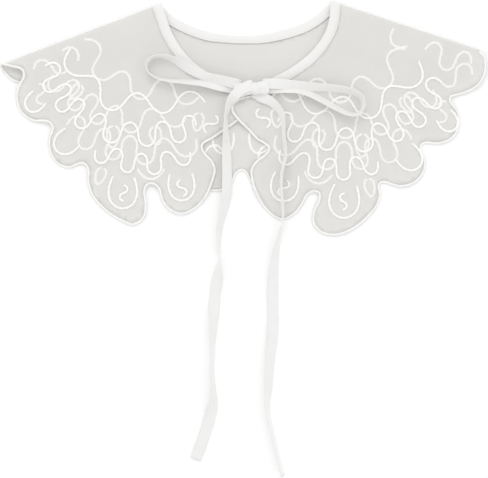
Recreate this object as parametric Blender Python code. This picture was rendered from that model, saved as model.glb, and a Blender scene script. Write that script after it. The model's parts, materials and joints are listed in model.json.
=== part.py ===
"""A sheer false collar, laid flat on a table with its neck tie in a bow.

Metres, +Z up. The collar lies on the plane Z = 0 with its front uppermost: +X is to the right and
+Y is towards the neck. The cloth is one cut, a thin wall, whose back lies on the table and whose two
fronts are folded over it along the shoulders. A bias binding follows the neck edge, a stitched edging
follows the scalloped hem, runs of cord are couched on the fronts, and the tie is a flat tape.

Tables give places in millimetres as (across, down): across is to the right of the collar's middle,
and down is from the shoulder line towards the hem.
"""

import math

import bmesh
import bpy
from mathutils import Vector
from mathutils.bvhtree import BVHTree
from mathutils.geometry import delaunay_2d_cdt, intersect_point_line

MM = 0.001
MIDDLE_DOWN = 118.0

# Sizes of the pieces, in millimetres
CLOTH = 1.0
SEAM_GAP = 0.3
FOLD_RADIUS = 2.75
BINDING_WIDTH = 8.0
BINDING_THICK = 2.0
EDGING_WIDTH = 2.0
EDGING_THICK = 1.3
CORD_WIDTH = 1.8
CORD_HEIGHT = 1.0
TAPE_WIDTH = 10.5
TAPE_THICK = 1.2

# Heights of the cloth's middle layer above the table, in millimetres
BACK_HEIGHT = CLOTH / 2
FRONT_HEIGHT = 2.5
FRONT_ON_TABLE = 0.75
OVERLAP_LIFT = 1.7
RIPPLE_HEIGHT = 1.0
RIPPLE_DEGREES = 19.0
TRIM_CLEARANCE = 0.1
TRIM_ROUNDING = 0.3

# Over what lengths the cloth's height changes, in millimetres
TABLE_FALL_START = 3.5
TABLE_FALL = 16.0
FOLD_FALL = 45.0
OVERLAP_START = 3.0
OVERLAP_FALL = 14.0
RIPPLE_START = 15.0
RIPPLE_FADE = 60.0
KNOT_CALM = 50.0

# The hem's cloth ends under its edging, and the inset fades out at the folds, in millimetres
HEM_INSET = EDGING_WIDTH - 0.2
INSET_FADE = 9.0
EDGING_SETBACK = 1.5

# How finely the shapes are made, in millimetres
CLOTH_GRID = 12.0
CURVE_STEP = 0.5
CURVE_WITHIN = 0.12
LONGEST_CHORD = 7.0
CORD_WITHIN = 0.25
LONGEST_CORD_CHORD = 6.0
TAPE_STEP = 4.5
SHORTEST_TAPE_STEP = 2.0
WELD = 0.01
BEND_STEPS = 6
BEND_COLUMNS = 16

# Each shoulder fold, as (across, down) at the neck and at the hem
LEFT_FOLD = ((-83, 3.5), (-243, 66))
RIGHT_FOLD = ((88, 1), (231, 48))
LEFT_TIP_REACH = 2.0
RIGHT_TIP_REACH = 1.5

# Neck edge of the cloth, where the binding starts, from the shoulder to the centre front
LEFT_NECK = [(-91, 9), (-89, 16), (-82, 36), (-67, 60), (-44, 79.5), (-19, 89.8), (-12, 92.5)]
RIGHT_NECK = [(95.5, 7), (96, 15), (90.5, 39), (74.5, 59.5), (50, 74.5), (30, 86), (23, 91)]
BACK_NECK = [(-90, 9), (-75, 24), (-59, 33), (-39, 41), (-19, 43.6), (6, 44), (21, 43)]
BACK_NECK += [(46, 37), (66, 29.5), (84, 17), (94, 7)]

# Hem of each front, one row for a scallop or the notch after it, from the centre front to the fold
LEFT_HEM = [
    *[(-12, 92.5), (-4, 97.5), (1, 101), (3, 108), (-2, 117)],
    *[(-19, 130), (-32, 139), (-40, 143.5), (-41.5, 147.5), (-38, 154), (-32, 160)],
    *[(-28.5, 169), (-31, 181), (-38, 197), (-49, 209), (-63, 214.5), (-76, 209), (-83, 199)],
    *[(-85, 190.5), (-88, 186), (-93, 184), (-97.5, 186.5)],
    *[(-99, 192), (-97.5, 203), (-99.5, 217), (-110, 225), (-124, 220.5), (-140, 210)],
    *[(-152, 196), (-157, 181), (-156.5, 170.5), (-159, 165), (-163, 163.7)],
    *[(-176, 168), (-188, 163), (-195, 151), (-195.5, 138), (-192, 128.5), (-193.5, 124)],
    *[(-198, 121.7), (-211, 121), (-223, 113), (-228.2, 99), (-225.5, 86)],
    *[(-220.5, 76.5), (-221.5, 71), (-227, 67.7), (-234, 66.4)],
]
RIGHT_HEM = [
    *[(23, 91), (13, 97.5), (2, 99.5), (-7, 102.5), (-11, 109), (-8, 116.5)],
    *[(4, 130), (13, 139.5), (21.5, 144.5), (24.5, 148.5), (20, 155), (12, 161)],
    *[(7, 169), (8, 182), (13.5, 197), (24, 212), (38, 220), (51, 214), (58.5, 204.5)],
    *[(63, 196), (69, 192), (74.5, 193.5), (74.5, 200)],
    *[(69.5, 211), (69, 223.5), (78, 233), (92, 235.5), (108, 230), (123, 218.5)],
    *[(134, 205), (137, 193), (135.5, 186), (137.5, 183), (142, 183)],
    *[(156, 187), (170, 183.5), (180, 173), (182, 160), (177.5, 148.5), (178, 145)],
    *[(181.5, 143.3), (195, 144), (208, 139), (215.5, 127), (215, 112)],
    *[(207, 101), (207, 97.5), (210, 96), (223, 92.5), (235, 85), (241.3, 72), (240.5, 60), (234, 52)],
]

# Hem of the back, one half, as (outwards from the centre back, down), one row for a scallop or notch
CENTRE_BACK = -2.5
BACK_HALF_HEM = [
    *[(5, 173.5), (8.5, 181), (15, 188.5), (27, 191.3), (42, 187.5), (53, 179)],
    *[(60, 171), (66, 174.5), (78, 178.8), (91, 178), (102, 170.5), (108.5, 158)],
    *[(111, 149.5), (115, 146.8), (124, 150), (138, 154), (151, 149.5), (159, 138)],
    *[(161.5, 126), (166, 121.5), (176, 121.8), (187, 121), (198, 114.5), (204.5, 103)],
    *[(205, 92), (208, 86), (215, 83.5), (227, 81.5), (235, 76)],
]
BACK_CENTRE_NOTCH = [(CENTRE_BACK, 170.5)]
BACK_LEFT_END = [(-241, 70)]
BACK_RIGHT_END = [(239, 67), (234, 54)]

# Couched cord on the left front, a row for each run: (name, half loops, swing of the heading in degrees,
# lesser swing, hand of the first loop, the line it wanders along); the right front has them turned over
CORD_RUNS = [
    ("garland", 6, 54, 10, -1, [(-173, 49), (-157, 83), (-120, 103), (-76, 103), (-38, 103)]),
    ("ramble", 13, 92, 10, 1, [(-199, 67), (-177, 103), (-136, 130), (-88, 134), (-48, 126)]),
    ("lower_ramble", 7, 82, 8, -1, [(-148, 150), (-118, 161), (-84, 163), (-54, 152)]),
    ("first_hook", 1, 100, 0, -1, [(-210, 91), (-198, 103)]),
    ("second_hook", 1, 98, 0, -1, [(-178, 128), (-164, 145)]),
    ("long_hook", 1, 111, 0, -1, [(-131, 176), (-110, 177)]),
    ("long_inner", 2, 72, 0, 1, [(-121, 185), (-120, 201)]),
    ("front_hook", 1, 105, 0, -1, [(-74, 174), (-52, 173)]),
    ("front_inner", 2, 72, 0, -1, [(-63, 180), (-61, 196)]),
    ("centre_bend", 2, 74, 0, 1, [(-37, 133), (-29, 115)]),
]
LESSER_SWING_HALVES = 1.7
STEPS_PER_HALF = 20
TURNED_DEGREES = -8.0
TURNED_STRETCH = 1.04

# The tie's tape, as (across, down, lift over what it lies on, tilt from flat in degrees); on its smooth
# route that many degrees of tilt count as one millimetre
DEGREES_PER_MM = 10.0
LEFT_LOOP = [
    *[(-9.5, 89, 0.8, 0), (-24, 88.5, 0.8, 12), (-40, 86.5, 0.8, 40), (-58, 84.5, 0.6, 57)],
    *[(-76, 82, 0.6, 72), (-89, 79, 0.6, 79), (-96.5, 72, 0.6, 80), (-98, 65, 0.6, 80)],
    *[(-94, 57.5, 0.6, 78), (-85, 54.8, 0.6, 70), (-74, 57.5, 0.6, 50), (-62, 64.5, 0.8, 28)],
    *[(-50, 71.5, 1.4, 12), (-36, 77.5, 3.2, 0), (-22, 82, 3.6, 0), (-9.5, 85, 3.6, 0)],
]
RIGHT_LOOP = [
    *[(24.5, 89, 0.8, 0), (40, 88.5, 0.8, 8), (54, 90.5, 0.8, 26), (66, 94.5, 0.6, 38)],
    *[(78, 100.5, 0.6, 46), (90, 107.5, 0.6, 52), (102, 113.5, 0.6, 58), (111, 115.5, 0.6, 66)],
    *[(117.5, 112, 0.6, 72), (120.3, 105, 0.6, 72), (118, 97.5, 0.6, 68), (110, 92, 0.6, 58)],
    *[(98, 88.7, 0.8, 50), (84, 87, 1.6, 40), (66, 85.5, 3.4, 22), (48, 84.5, 3.8, 6)],
    *[(34, 84, 3.8, 0), (24.5, 84, 3.8, 0)],
]
LEFT_TAIL = [
    *[(-7, 99.8, 0.6, 18), (-12, 102, 0.5, 42), (-16.5, 110, 0.5, 62), (-18, 120, 0.5, 62)],
    *[(-17.8, 133, 0.5, 44), (-17.3, 148, 0.5, 30), (-17, 165, 0.5, 24), (-17, 182, 0.5, 24)],
    *[(-17.5, 196, 0.4, 28), (-20, 209, 0.2, 38), (-23, 221, 0.1, 52), (-25, 234, 0.1, 62)],
    *[(-25, 246, 0.1, 72), (-24.6, 257, 0.1, 90), (-25.8, 268, 0.1, 128), (-27.6, 280, 0.1, 160)],
    *[(-28.8, 292, 0.1, 178), (-29.6, 306, 0.1, 190), (-30.2, 320, 0.1, 214), (-31, 335, 0.1, 230)],
    *[(-31.6, 350, 0.1, 246), (-31.8, 365, 0.1, 250), (-31.4, 380, 0.1, 247)],
    *[(-30.7, 392, 0.1, 238), (-30.8, 403, 0.1, 216), (-33, 414, 0.1, 194), (-36.5, 426, 0.1, 185)],
    *[(-40.5, 438, 0.1, 182), (-44.7, 450, 0.1, 184), (-48.5, 459.5, 0.1, 182)],
]
RIGHT_TAIL = [
    *[(18.5, 98.2, 0.6, -12), (25, 101, 0.5, -28), (32, 107, 0.5, -44), (37, 114.5, 0.5, -58)],
    *[(39, 125, 0.5, -70), (39.5, 137, 0.5, -73), (41, 148, 0.5, -74), (41, 158, 0.5, -74)],
    *[(38.5, 168, 0.5, -76), (37, 180, 0.5, -78), (37.3, 192, 0.5, -80), (38.3, 204, 0.5, -78)],
    *[(39, 214, 0.5, -83), (38.2, 222, 0.3, -90), (36, 232, 0.1, -102), (33.5, 243, 0.1, -118)],
    *[(31.5, 254, 0.1, -134), (30.3, 265, 0.1, -146), (29.5, 277, 0.1, -156)],
    *[(29, 291, 0.1, -166), (29, 306, 0.1, -172), (29.4, 321, 0.1, -168), (28.8, 336, 0.1, -160)],
    *[(27.3, 351, 0.1, -152), (25.9, 364, 0.1, -146), (25, 377, 0.1, -142), (24.4, 389, 0.1, -138)],
    *[(23.6, 399, 0.1, -120), (23.3, 409, 0.1, -116), (25, 419, 0.1, -108), (27.5, 429, 0.1, -107)],
    *[(29.8, 439, 0.1, -107), (32.7, 451, 0.1, -105), (35.7, 463, 0.1, -103), (38.5, 475, 0.1, -112)],
]

# Where the surface under a piece is felt: in shares of its width, and in millimetres along it
PROBE_SHARES = (-0.65, -0.45, -0.2, 0.0, 0.2, 0.45, 0.65)
PROBE_STEPS = (-3.2, -1.6, 0.0, 1.6, 3.2)
CORD_PROBE_SHARES = (-1.2, -0.5, 0.0, 0.5, 1.2)
KNOT_PROBE_SHARES = (-1.0, -0.5, 0.0, 0.5, 1.0)
PROBE_FROM = 60.0

# The knot's rings along its length, as (along, half width, half height)
KNOT_CENTRE = (7.5, 88.5)
KNOT_TURN_DEGREES = 6.0
KNOT_RINGS = [
    *[(-15.5, 4.6, 3.6), (-13, 5.6, 4.4), (-8.5, 6.4, 4.8), (-5.5, 6.2, 4.7), (-2.5, 7.4, 5.2)],
    *[(2, 7.6, 5.3), (5.5, 6.4, 4.8), (9, 6.5, 4.8), (13, 5.6, 4.4), (15.5, 4.6, 3.6)],
]
KNOT_SIDES = 14
KNOT_CLEARANCE = 0.35


def laid(rows):
    """Rows of (across, down) as points of the row frame, in millimetres."""
    return [Vector((across, MIDDLE_DOWN - down)) for across, down in rows]


def smooth(share):
    """A soft step from 0 to 1."""
    share = min(1.0, max(0.0, share))
    return share * share * (3 - 2 * share)


def spline(points):
    """A dense smooth curve through the points, of any number of coordinates."""
    ends = [2 * points[0] - points[1], *points, 2 * points[-1] - points[-2]]
    chain = []
    for a, b, c, d in zip(ends, ends[1:], ends[2:], ends[3:]):
        t1 = math.sqrt((b - a).length)
        t2 = t1 + math.sqrt((c - b).length)
        t3 = t2 + math.sqrt((d - c).length)
        count = max(2, math.ceil((c - b).length / CURVE_STEP))
        for k in range(count):
            t = t1 + (t2 - t1) * k / count
            ab = a + (b - a) * (t / t1)
            bc = b + (c - b) * ((t - t1) / (t2 - t1))
            cd = c + (d - c) * ((t - t2) / (t3 - t2))
            abc = ab + (bc - ab) * (t / t2)
            bcd = bc + (cd - bc) * ((t - t1) / (t3 - t1))
            chain.append(abc + (bcd - abc) * ((t - t1) / (t2 - t1)))
    return [*chain, points[-1].copy()]


def thinned(chain, within=CURVE_WITHIN, longest=LONGEST_CHORD):
    """The chain's own points, as few as keep it that near to its curve."""
    kept = [chain[0]]
    start = 0
    while start < len(chain) - 1:
        end = start + 1
        while end + 1 < len(chain) and (chain[end + 1] - chain[start]).length <= longest:
            middle = chain[start + 1 : end + 1]
            offs = [p - intersect_point_line(p, chain[start], chain[end + 1])[0].to_2d() for p in middle]
            if max(off.length for off in offs) > within:
                break
            end += 1
        kept.append(chain[end])
        start = end
    return kept


def inside(point, outline):
    """Whether a point is inside a closed outline."""
    found = False
    for a, b in zip(outline, outline[1:] + outline[:1]):
        if (a.y > point.y) != (b.y > point.y):
            if point.x < a.x + (b.x - a.x) * (point.y - a.y) / (b.y - a.y):
                found = not found
    return found


def near_outline(point, outline):
    """How far a point is from the nearest stretch of a closed outline."""
    nearest = math.inf
    for a, b in zip(outline, outline[1:] + outline[:1]):
        place, share = intersect_point_line(point, a, b)
        share = min(1.0, max(0.0, share))
        nearest = min(nearest, (point - a - (b - a) * share).length)
    return nearest


def outside_by(point, outline):
    """How far a point is outside a closed outline, and 0 inside it."""
    return 0.0 if inside(point, outline) else near_outline(point, outline)


class Fold:
    """A shoulder fold: a straight line where the cloth turns over a small radius."""

    def __init__(self, ends, tip_reach):
        self.neck, hem = laid(ends)
        self.along = (hem - self.neck).normalized()
        self.inwards = Vector((-self.along.y, self.along.x))
        if self.inwards.y > 0:
            self.inwards.negate()
        self.tip_reach = tip_reach

    def depth(self, point):
        """How far inside the fold's line a point lies."""
        return (point - self.neck).dot(self.inwards)

    def reach(self, point):
        """How far along the fold a point lies, from the neck."""
        return (point - self.neck).dot(self.along)

    def at(self, reach, depth):
        return self.neck + self.along * reach + self.inwards * depth

    def seated(self, point):
        """The point moved onto the line where the flat cloth starts to bend."""
        return self.at(self.reach(point), FOLD_RADIUS)

    def bend(self, back_reach, front_reach, share, end_share):
        """(place, outward normal) on the bend, from 0 at the back to 1 at the front."""
        turn = math.pi * share
        reach = back_reach + (front_reach - back_reach) * share
        reach += self.tip_reach * math.sin(turn) * end_share**6
        flat = self.at(reach, FOLD_RADIUS * (1 - math.sin(turn)))
        place = Vector((flat.x, flat.y, BACK_HEIGHT + FOLD_RADIUS * (1 - math.cos(turn))))
        sideways = -self.inwards * math.sin(turn)
        return place, Vector((sideways.x, sideways.y, -math.cos(turn)))


class Panel:
    """A flat stretch of the cloth: its neck edge, its hem and the line where it meets each fold."""

    def __init__(self, neck, hem, height):
        self.neck = neck
        self.hem = hem
        self.height = height

    def lift(self, points):
        return [Vector((p.x, p.y, self.height(p))) for p in points]

    def normal(self, point, up):
        """The cloth's normal at a point, up or down."""
        step = 1.0
        rise_x = self.height(point + Vector((step, 0))) - self.height(point - Vector((step, 0)))
        rise_y = self.height(point + Vector((0, step))) - self.height(point - Vector((0, step)))
        return Vector((-rise_x / (2 * step), -rise_y / (2 * step), 1)).normalized() * (1 if up else -1)


def outline_curve(rows, start_fold=None, end_fold=None, inset=0.0):
    """An edge of the cloth through the table's rows, moved in, with its ends seated on the folds."""
    points = laid(rows)
    if start_fold:
        points[0] = start_fold.seated(points[0])
    if end_fold:
        points[-1] = end_fold.seated(points[-1])
    chain = spline(points)
    moved = []
    for k, place in enumerate(chain):
        ahead = (chain[min(k + 1, len(chain) - 1)] - chain[max(k - 1, 0)]).normalized()
        held = 1.0
        if start_fold:
            held *= smooth((start_fold.depth(place) - FOLD_RADIUS) / INSET_FADE)
        if end_fold:
            held *= smooth((end_fold.depth(place) - FOLD_RADIUS) / INSET_FADE)
        moved.append(place + Vector((ahead.y, -ahead.x)) * inset * held)
    return thinned(moved)


def fold_line(start, end):
    """Points between two places on a fold's line, without the ends."""
    return [start.lerp(end, k / BEND_COLUMNS) for k in range(1, BEND_COLUMNS)]


def triangulated(outline):
    """(points, triangles) of the flat cloth inside an outline, with a hexagonal grid of inner points."""
    low = Vector((min(p.x for p in outline), min(p.y for p in outline)))
    high = Vector((max(p.x for p in outline), max(p.y for p in outline)))
    points = list(outline)
    row_height = CLOTH_GRID * math.sqrt(3) / 2
    for row in range(1, int((high.y - low.y) / row_height) + 1):
        for column in range(int((high.x - low.x) / CLOTH_GRID) + 2):
            p = low + Vector(((column + 0.5 * (row % 2)) * CLOTH_GRID, row * row_height))
            if inside(p, outline) and near_outline(p, outline) > 0.5 * CLOTH_GRID:
                points.append(p)
    ring = list(range(len(outline)))
    made = delaunay_2d_cdt(points, [], [ring], 1, 1e-6)
    return made[0], made[2]


def material(name, colour, roughness, alpha=1.0):
    made = bpy.data.materials.new(name)
    made.use_nodes = True
    shader = made.node_tree.nodes["Principled BSDF"]
    shader.inputs["Base Color"].default_value = (*colour, 1)
    shader.inputs["Roughness"].default_value = roughness
    shader.inputs["Metallic"].default_value = 0.0
    shader.inputs["Alpha"].default_value = alpha
    made.diffuse_color = (*colour, alpha)
    return made


def mesh_object(name, points, faces, look, parent):
    """An object from points in millimetres, with shared points joined and its faces turned outwards."""
    mesh = bpy.data.meshes.new(name)
    mesh.from_pydata([p * MM for p in points], [], faces)
    shape = bmesh.new()
    shape.from_mesh(mesh)
    bmesh.ops.remove_doubles(shape, verts=shape.verts, dist=WELD * MM)
    bmesh.ops.recalc_face_normals(shape, faces=shape.faces)
    shape.to_mesh(mesh)
    shape.free()
    mesh.materials.append(look)
    made = bpy.data.objects.new(name, mesh)
    made.parent = parent
    bpy.context.scene.collection.objects.link(made)
    return made


def swept(sections):
    """(points, faces) of a closed solid through sections with the same number of corners."""
    count = len(sections[0])
    points = [p for section in sections for p in section]
    faces = [tuple(range(count))[::-1]]
    for k in range(len(sections) - 1):
        for side in range(count):
            a = k * count + side
            b = k * count + (side + 1) % count
            faces.append((a, b, b + count, a + count))
    faces.append(tuple(range(len(points) - count, len(points))))
    return points, faces


def outward_frames(places, normals):
    """(place, direction away from the cloth, outward normal) along an edge of the cloth."""
    frames = []
    for k, (place, normal) in enumerate(zip(places, normals)):
        ahead = places[min(k + 1, len(places) - 1)] - places[max(k - 1, 0)]
        frames.append((place, ahead.cross(normal).normalized(), normal))
    return frames


def trimmed(frames, setback):
    """The frames without that much of the edge's length at its ends."""
    kept = []
    lengths = [0.0]
    for (a, _, _), (b, _, _) in zip(frames, frames[1:]):
        lengths.append(lengths[-1] + (b - a).length)
    for frame, length in zip(frames, lengths):
        if setback <= length <= lengths[-1] - setback:
            kept.append(frame)
    return kept


def trim_section(frame, width, thick):
    """The section of a binding or edging, from the cloth's edge outwards, rounded on its free side."""
    place, away, normal = frame
    half = thick / 2
    end = width + SEAM_GAP
    shoulder = end - TRIM_ROUNDING * half
    corners = [(SEAM_GAP, -half), (shoulder, -half), (end, 0), (shoulder, half), (SEAM_GAP, half)]
    section = [place + away * out + normal * up for out, up in corners]
    # Next to the table the trim sits a little higher, so that only the cloth rests there.
    rise = max(0.0, TRIM_CLEARANCE - min(corner.z for corner in section))
    return [corner + Vector((0, 0, rise)) for corner in section]


def folded_cloth(panels, folds, look, parent):
    """The whole cut: the back, both bends and both fronts in one thin wall."""
    left, back, right = panels
    points = []
    faces = []

    def add(new_points, new_faces):
        base = len(points)
        points.extend(new_points)
        faces.extend([base + i for i in face] for face in new_faces)

    left_back_line = [back.neck[0], *fold_line(back.neck[0], back.hem[0]), back.hem[0]]
    right_back_line = [back.neck[-1], *fold_line(back.neck[-1], back.hem[-1]), back.hem[-1]]
    back_outline = back.neck + right_back_line[1:-1] + back.hem[::-1] + left_back_line[-2:0:-1]
    flat, triangles = triangulated(back_outline)
    add(back.lift(flat), triangles)
    for panel, fold, back_line in ((left, folds[0], left_back_line), (right, folds[1], right_back_line)):
        line = [panel.neck[0], *fold_line(panel.neck[0], panel.hem[-1]), panel.hem[-1]]
        flat, triangles = triangulated(panel.neck + panel.hem[1:] + line[-2:0:-1])
        add(panel.lift(flat), triangles)
        grid = []
        for k in range(BEND_COLUMNS + 1):
            reaches = fold.reach(back_line[k]), fold.reach(line[k])
            shares = [j / BEND_STEPS for j in range(BEND_STEPS + 1)]
            grid += [fold.bend(*reaches, share, k / BEND_COLUMNS)[0] for share in shares]
        strip = []
        for k in range(BEND_COLUMNS):
            for j in range(BEND_STEPS):
                a = k * (BEND_STEPS + 1) + j
                strip.append((a, a + 1, a + BEND_STEPS + 2, a + BEND_STEPS + 1))
        add(grid, strip)
    made = mesh_object("collar_cloth", points, faces, look, parent)
    wall = made.modifiers.new("wall", "SOLIDIFY")
    wall.thickness = CLOTH * MM
    wall.offset = 0.0
    wall.use_even_offset = True
    return made


def cloth_edge(panels, folds, edge):
    """(places, normals) of the cloth's whole neck edge or hem, from the left front to the right front."""
    left, back, right = panels
    left_edge = left.neck[::-1] if edge == "neck" else left.hem
    back_edge = back.neck if edge == "neck" else back.hem
    right_edge = right.neck if edge == "neck" else right.hem[::-1]
    end_share = 0.0 if edge == "neck" else 1.0
    places = left.lift(left_edge)
    normals = [left.normal(p, up=True) for p in left_edge]
    for panel_end, back_end, fold, backwards in (
        (left_edge[-1], back_edge[0], folds[0], True),
        (right_edge[0], back_edge[-1], folds[1], False),
    ):
        if not backwards:
            places += back.lift(back_edge)
            normals += [back.normal(p, up=False) for p in back_edge]
        steps = [j / BEND_STEPS for j in range(1, BEND_STEPS)]
        for share in steps[::-1] if backwards else steps:
            reaches = fold.reach(back_end), fold.reach(panel_end)
            place, normal = fold.bend(*reaches, share, end_share)
            places.append(place)
            normals.append(normal)
    places += right.lift(right_edge)
    normals += [right.normal(p, up=True) for p in right_edge]
    return places, normals


def surface_tree(objects):
    """A search tree over the finished faces of some objects, in millimetres."""
    bpy.context.view_layer.update()
    graph = bpy.context.evaluated_depsgraph_get()
    points = []
    faces = []
    for made in objects:
        mesh = made.evaluated_get(graph).to_mesh()
        base = len(points)
        points += [made.matrix_world @ v.co / MM for v in mesh.vertices]
        faces += [[base + i for i in face.vertices] for face in mesh.polygons]
    return BVHTree.FromPolygons(points, faces)


def height_under(tree, place):
    """The highest surface under a place, or the table."""
    hit = tree.ray_cast(Vector((place.x, place.y, PROBE_FROM)), Vector((0, 0, -1)))[0]
    return hit.z if hit else 0.0


def turned_over(points):
    """Places on the left front moved onto the right front, which is turned over and a little larger."""
    left_neck = laid(LEFT_FOLD)[0]
    right_neck = laid(RIGHT_FOLD)[0]
    angle = math.radians(TURNED_DEGREES)
    made = []
    for p in points:
        x, y = -(p.x - left_neck.x), p.y - left_neck.y
        turned_x = x * math.cos(angle) - y * math.sin(angle)
        turned_y = x * math.sin(angle) + y * math.cos(angle)
        made.append(right_neck + TURNED_STRETCH * Vector((turned_x, turned_y)))
    return made


def meander(halves, swing, lesser_swing):
    """A wandering line from (0, 0) to (1, 0), whose heading swings to and fro along its length."""
    place = Vector((0, 0))
    path = [place]
    for k in range(halves * STEPS_PER_HALF):
        share = (k + 0.5) / STEPS_PER_HALF
        heading = swing * math.cos(math.pi * share)
        heading += lesser_swing * math.sin(2 * math.pi * share / LESSER_SWING_HALVES)
        place = place + Vector((math.cos(math.radians(heading)), math.sin(math.radians(heading))))
        path.append(place)
    end = path[-1]
    return [Vector((p.dot(end), end.x * p.y - end.y * p.x)) / end.length_squared for p in path]


def along_line(points, path, hand):
    """A path from (0, 0) to (1, 0), laid along the smooth line through the points."""
    chain = spline(points)
    lengths = [0.0]
    for a, b in zip(chain, chain[1:]):
        lengths.append(lengths[-1] + (b - a).length)
    made = []
    k = 0
    for p in path:
        reach = p.x * lengths[-1]
        while k < len(chain) - 2 and lengths[k + 1] < reach:
            k += 1
        while k > 0 and lengths[k] > reach:
            k -= 1
        ahead = (chain[k + 1] - chain[k]).normalized()
        aside = Vector((-ahead.y, ahead.x)) * hand
        made.append(chain[k] + ahead * (reach - lengths[k]) + aside * p.y * lengths[-1])
    return made


def couched_cord(name, route, tree, look, parent):
    """A run of cord lying on a front: three-sided, flat underneath."""
    route = thinned(route, within=CORD_WITHIN, longest=LONGEST_CORD_CHORD)
    sections = []
    for k, place in enumerate(route):
        ahead = (route[min(k + 1, len(route) - 1)] - route[max(k - 1, 0)]).normalized()
        side = Vector((-ahead.y, ahead.x)) * CORD_WIDTH / 2
        nearby = [place.lerp(other, 0.5) for other in route[max(k - 1, 0) : k + 2]]
        probes = [probe + side * share for probe in [place, *nearby] for share in CORD_PROBE_SHARES]
        base = max(height_under(tree, probe) for probe in probes) + SEAM_GAP
        left, right = place + side, place - side
        sections.append([
            Vector((left.x, left.y, base)),
            Vector((place.x, place.y, base + CORD_HEIGHT)),
            Vector((right.x, right.y, base)),
        ])
    points, faces = swept(sections)
    return mesh_object(name, points, faces, look, parent)


def tape(name, rows, hand, tree, look, parent):
    """A stretch of the tie: a flat tape that tilts and turns over along its route."""
    route = spline([
        Vector((across, MIDDLE_DOWN - down, lift, tilt / DEGREES_PER_MM)) for across, down, lift, tilt in rows
    ])
    stations = [route[0]]
    for point in route:
        if (point - stations[-1]).length >= TAPE_STEP:
            stations.append(point)
    if (route[-1] - stations[-1]).length < SHORTEST_TAPE_STEP:
        stations.pop()
    stations.append(route[-1])
    widths = []
    supports = []
    for k, station in enumerate(stations):
        ahead = stations[min(k + 1, len(stations) - 1)].to_2d() - stations[max(k - 1, 0)].to_2d()
        aside = Vector((-ahead.y, ahead.x)).normalized() * hand
        tilt = math.radians(station.w * DEGREES_PER_MM)
        across = Vector((aside.x * math.cos(tilt), aside.y * math.cos(tilt), math.sin(tilt)))
        widths.append((across, across.cross(Vector((ahead.x, ahead.y, 0))).normalized(), tilt))
        ahead.normalize()
        probes = [station.to_2d() + across.to_2d() * TAPE_WIDTH * share for share in PROBE_SHARES]
        probes = [probe + ahead * step for probe in probes for step in PROBE_STEPS]
        supports.append(max(height_under(tree, probe) for probe in probes))
    eased = [max(supports[max(k - 1, 0) : k + 2]) for k in range(len(supports))]
    eased = [sum(eased[max(k - 1, 0) : k + 2]) / len(eased[max(k - 1, 0) : k + 2]) for k in range(len(eased))]
    sections = []
    for station, support, under, (across, face, tilt) in zip(stations, eased, supports, widths):
        half_height = abs(math.sin(tilt)) * TAPE_WIDTH / 2 + abs(math.cos(tilt)) * TAPE_THICK / 2
        middle = Vector((station.x, station.y, max(support, under) + station.z + half_height))
        half_across = across * TAPE_WIDTH / 2
        half_face = face * TAPE_THICK / 2
        corners = [half_across + half_face, -half_across + half_face]
        corners += [-half_across - half_face, half_across - half_face]
        sections.append([middle + corner for corner in corners])
    points, faces = swept(sections)
    return mesh_object(name, points, faces, look, parent)


def knot(tree, look, parent):
    """The knot: rings along its length, with the wrap of tape standing out in the middle."""
    centre = laid([KNOT_CENTRE])[0]
    turn = math.radians(KNOT_TURN_DEGREES)
    along = Vector((math.cos(turn), math.sin(turn), 0))
    aside = Vector((-math.sin(turn), math.cos(turn), 0))
    highest = max(half_height for _, _, half_height in KNOT_RINGS)
    under = 0.0
    for reach, half_width, _ in KNOT_RINGS:
        for side in KNOT_PROBE_SHARES:
            probe = centre.to_3d() + along * reach + aside * half_width * side
            under = max(under, height_under(tree, probe))
    base = under + KNOT_CLEARANCE + highest
    sections = []
    for reach, half_width, half_height in KNOT_RINGS:
        middle = Vector((centre.x, centre.y, base)) + along * reach
        angles = [2 * math.pi * k / KNOT_SIDES for k in range(KNOT_SIDES)]
        ring = [aside * half_width * math.cos(a) + Vector((0, 0, half_height * math.sin(a))) for a in angles]
        sections.append([middle + corner for corner in ring])
    points, faces = swept(sections)
    return mesh_object("tie_knot", points, faces, look, parent)


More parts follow.
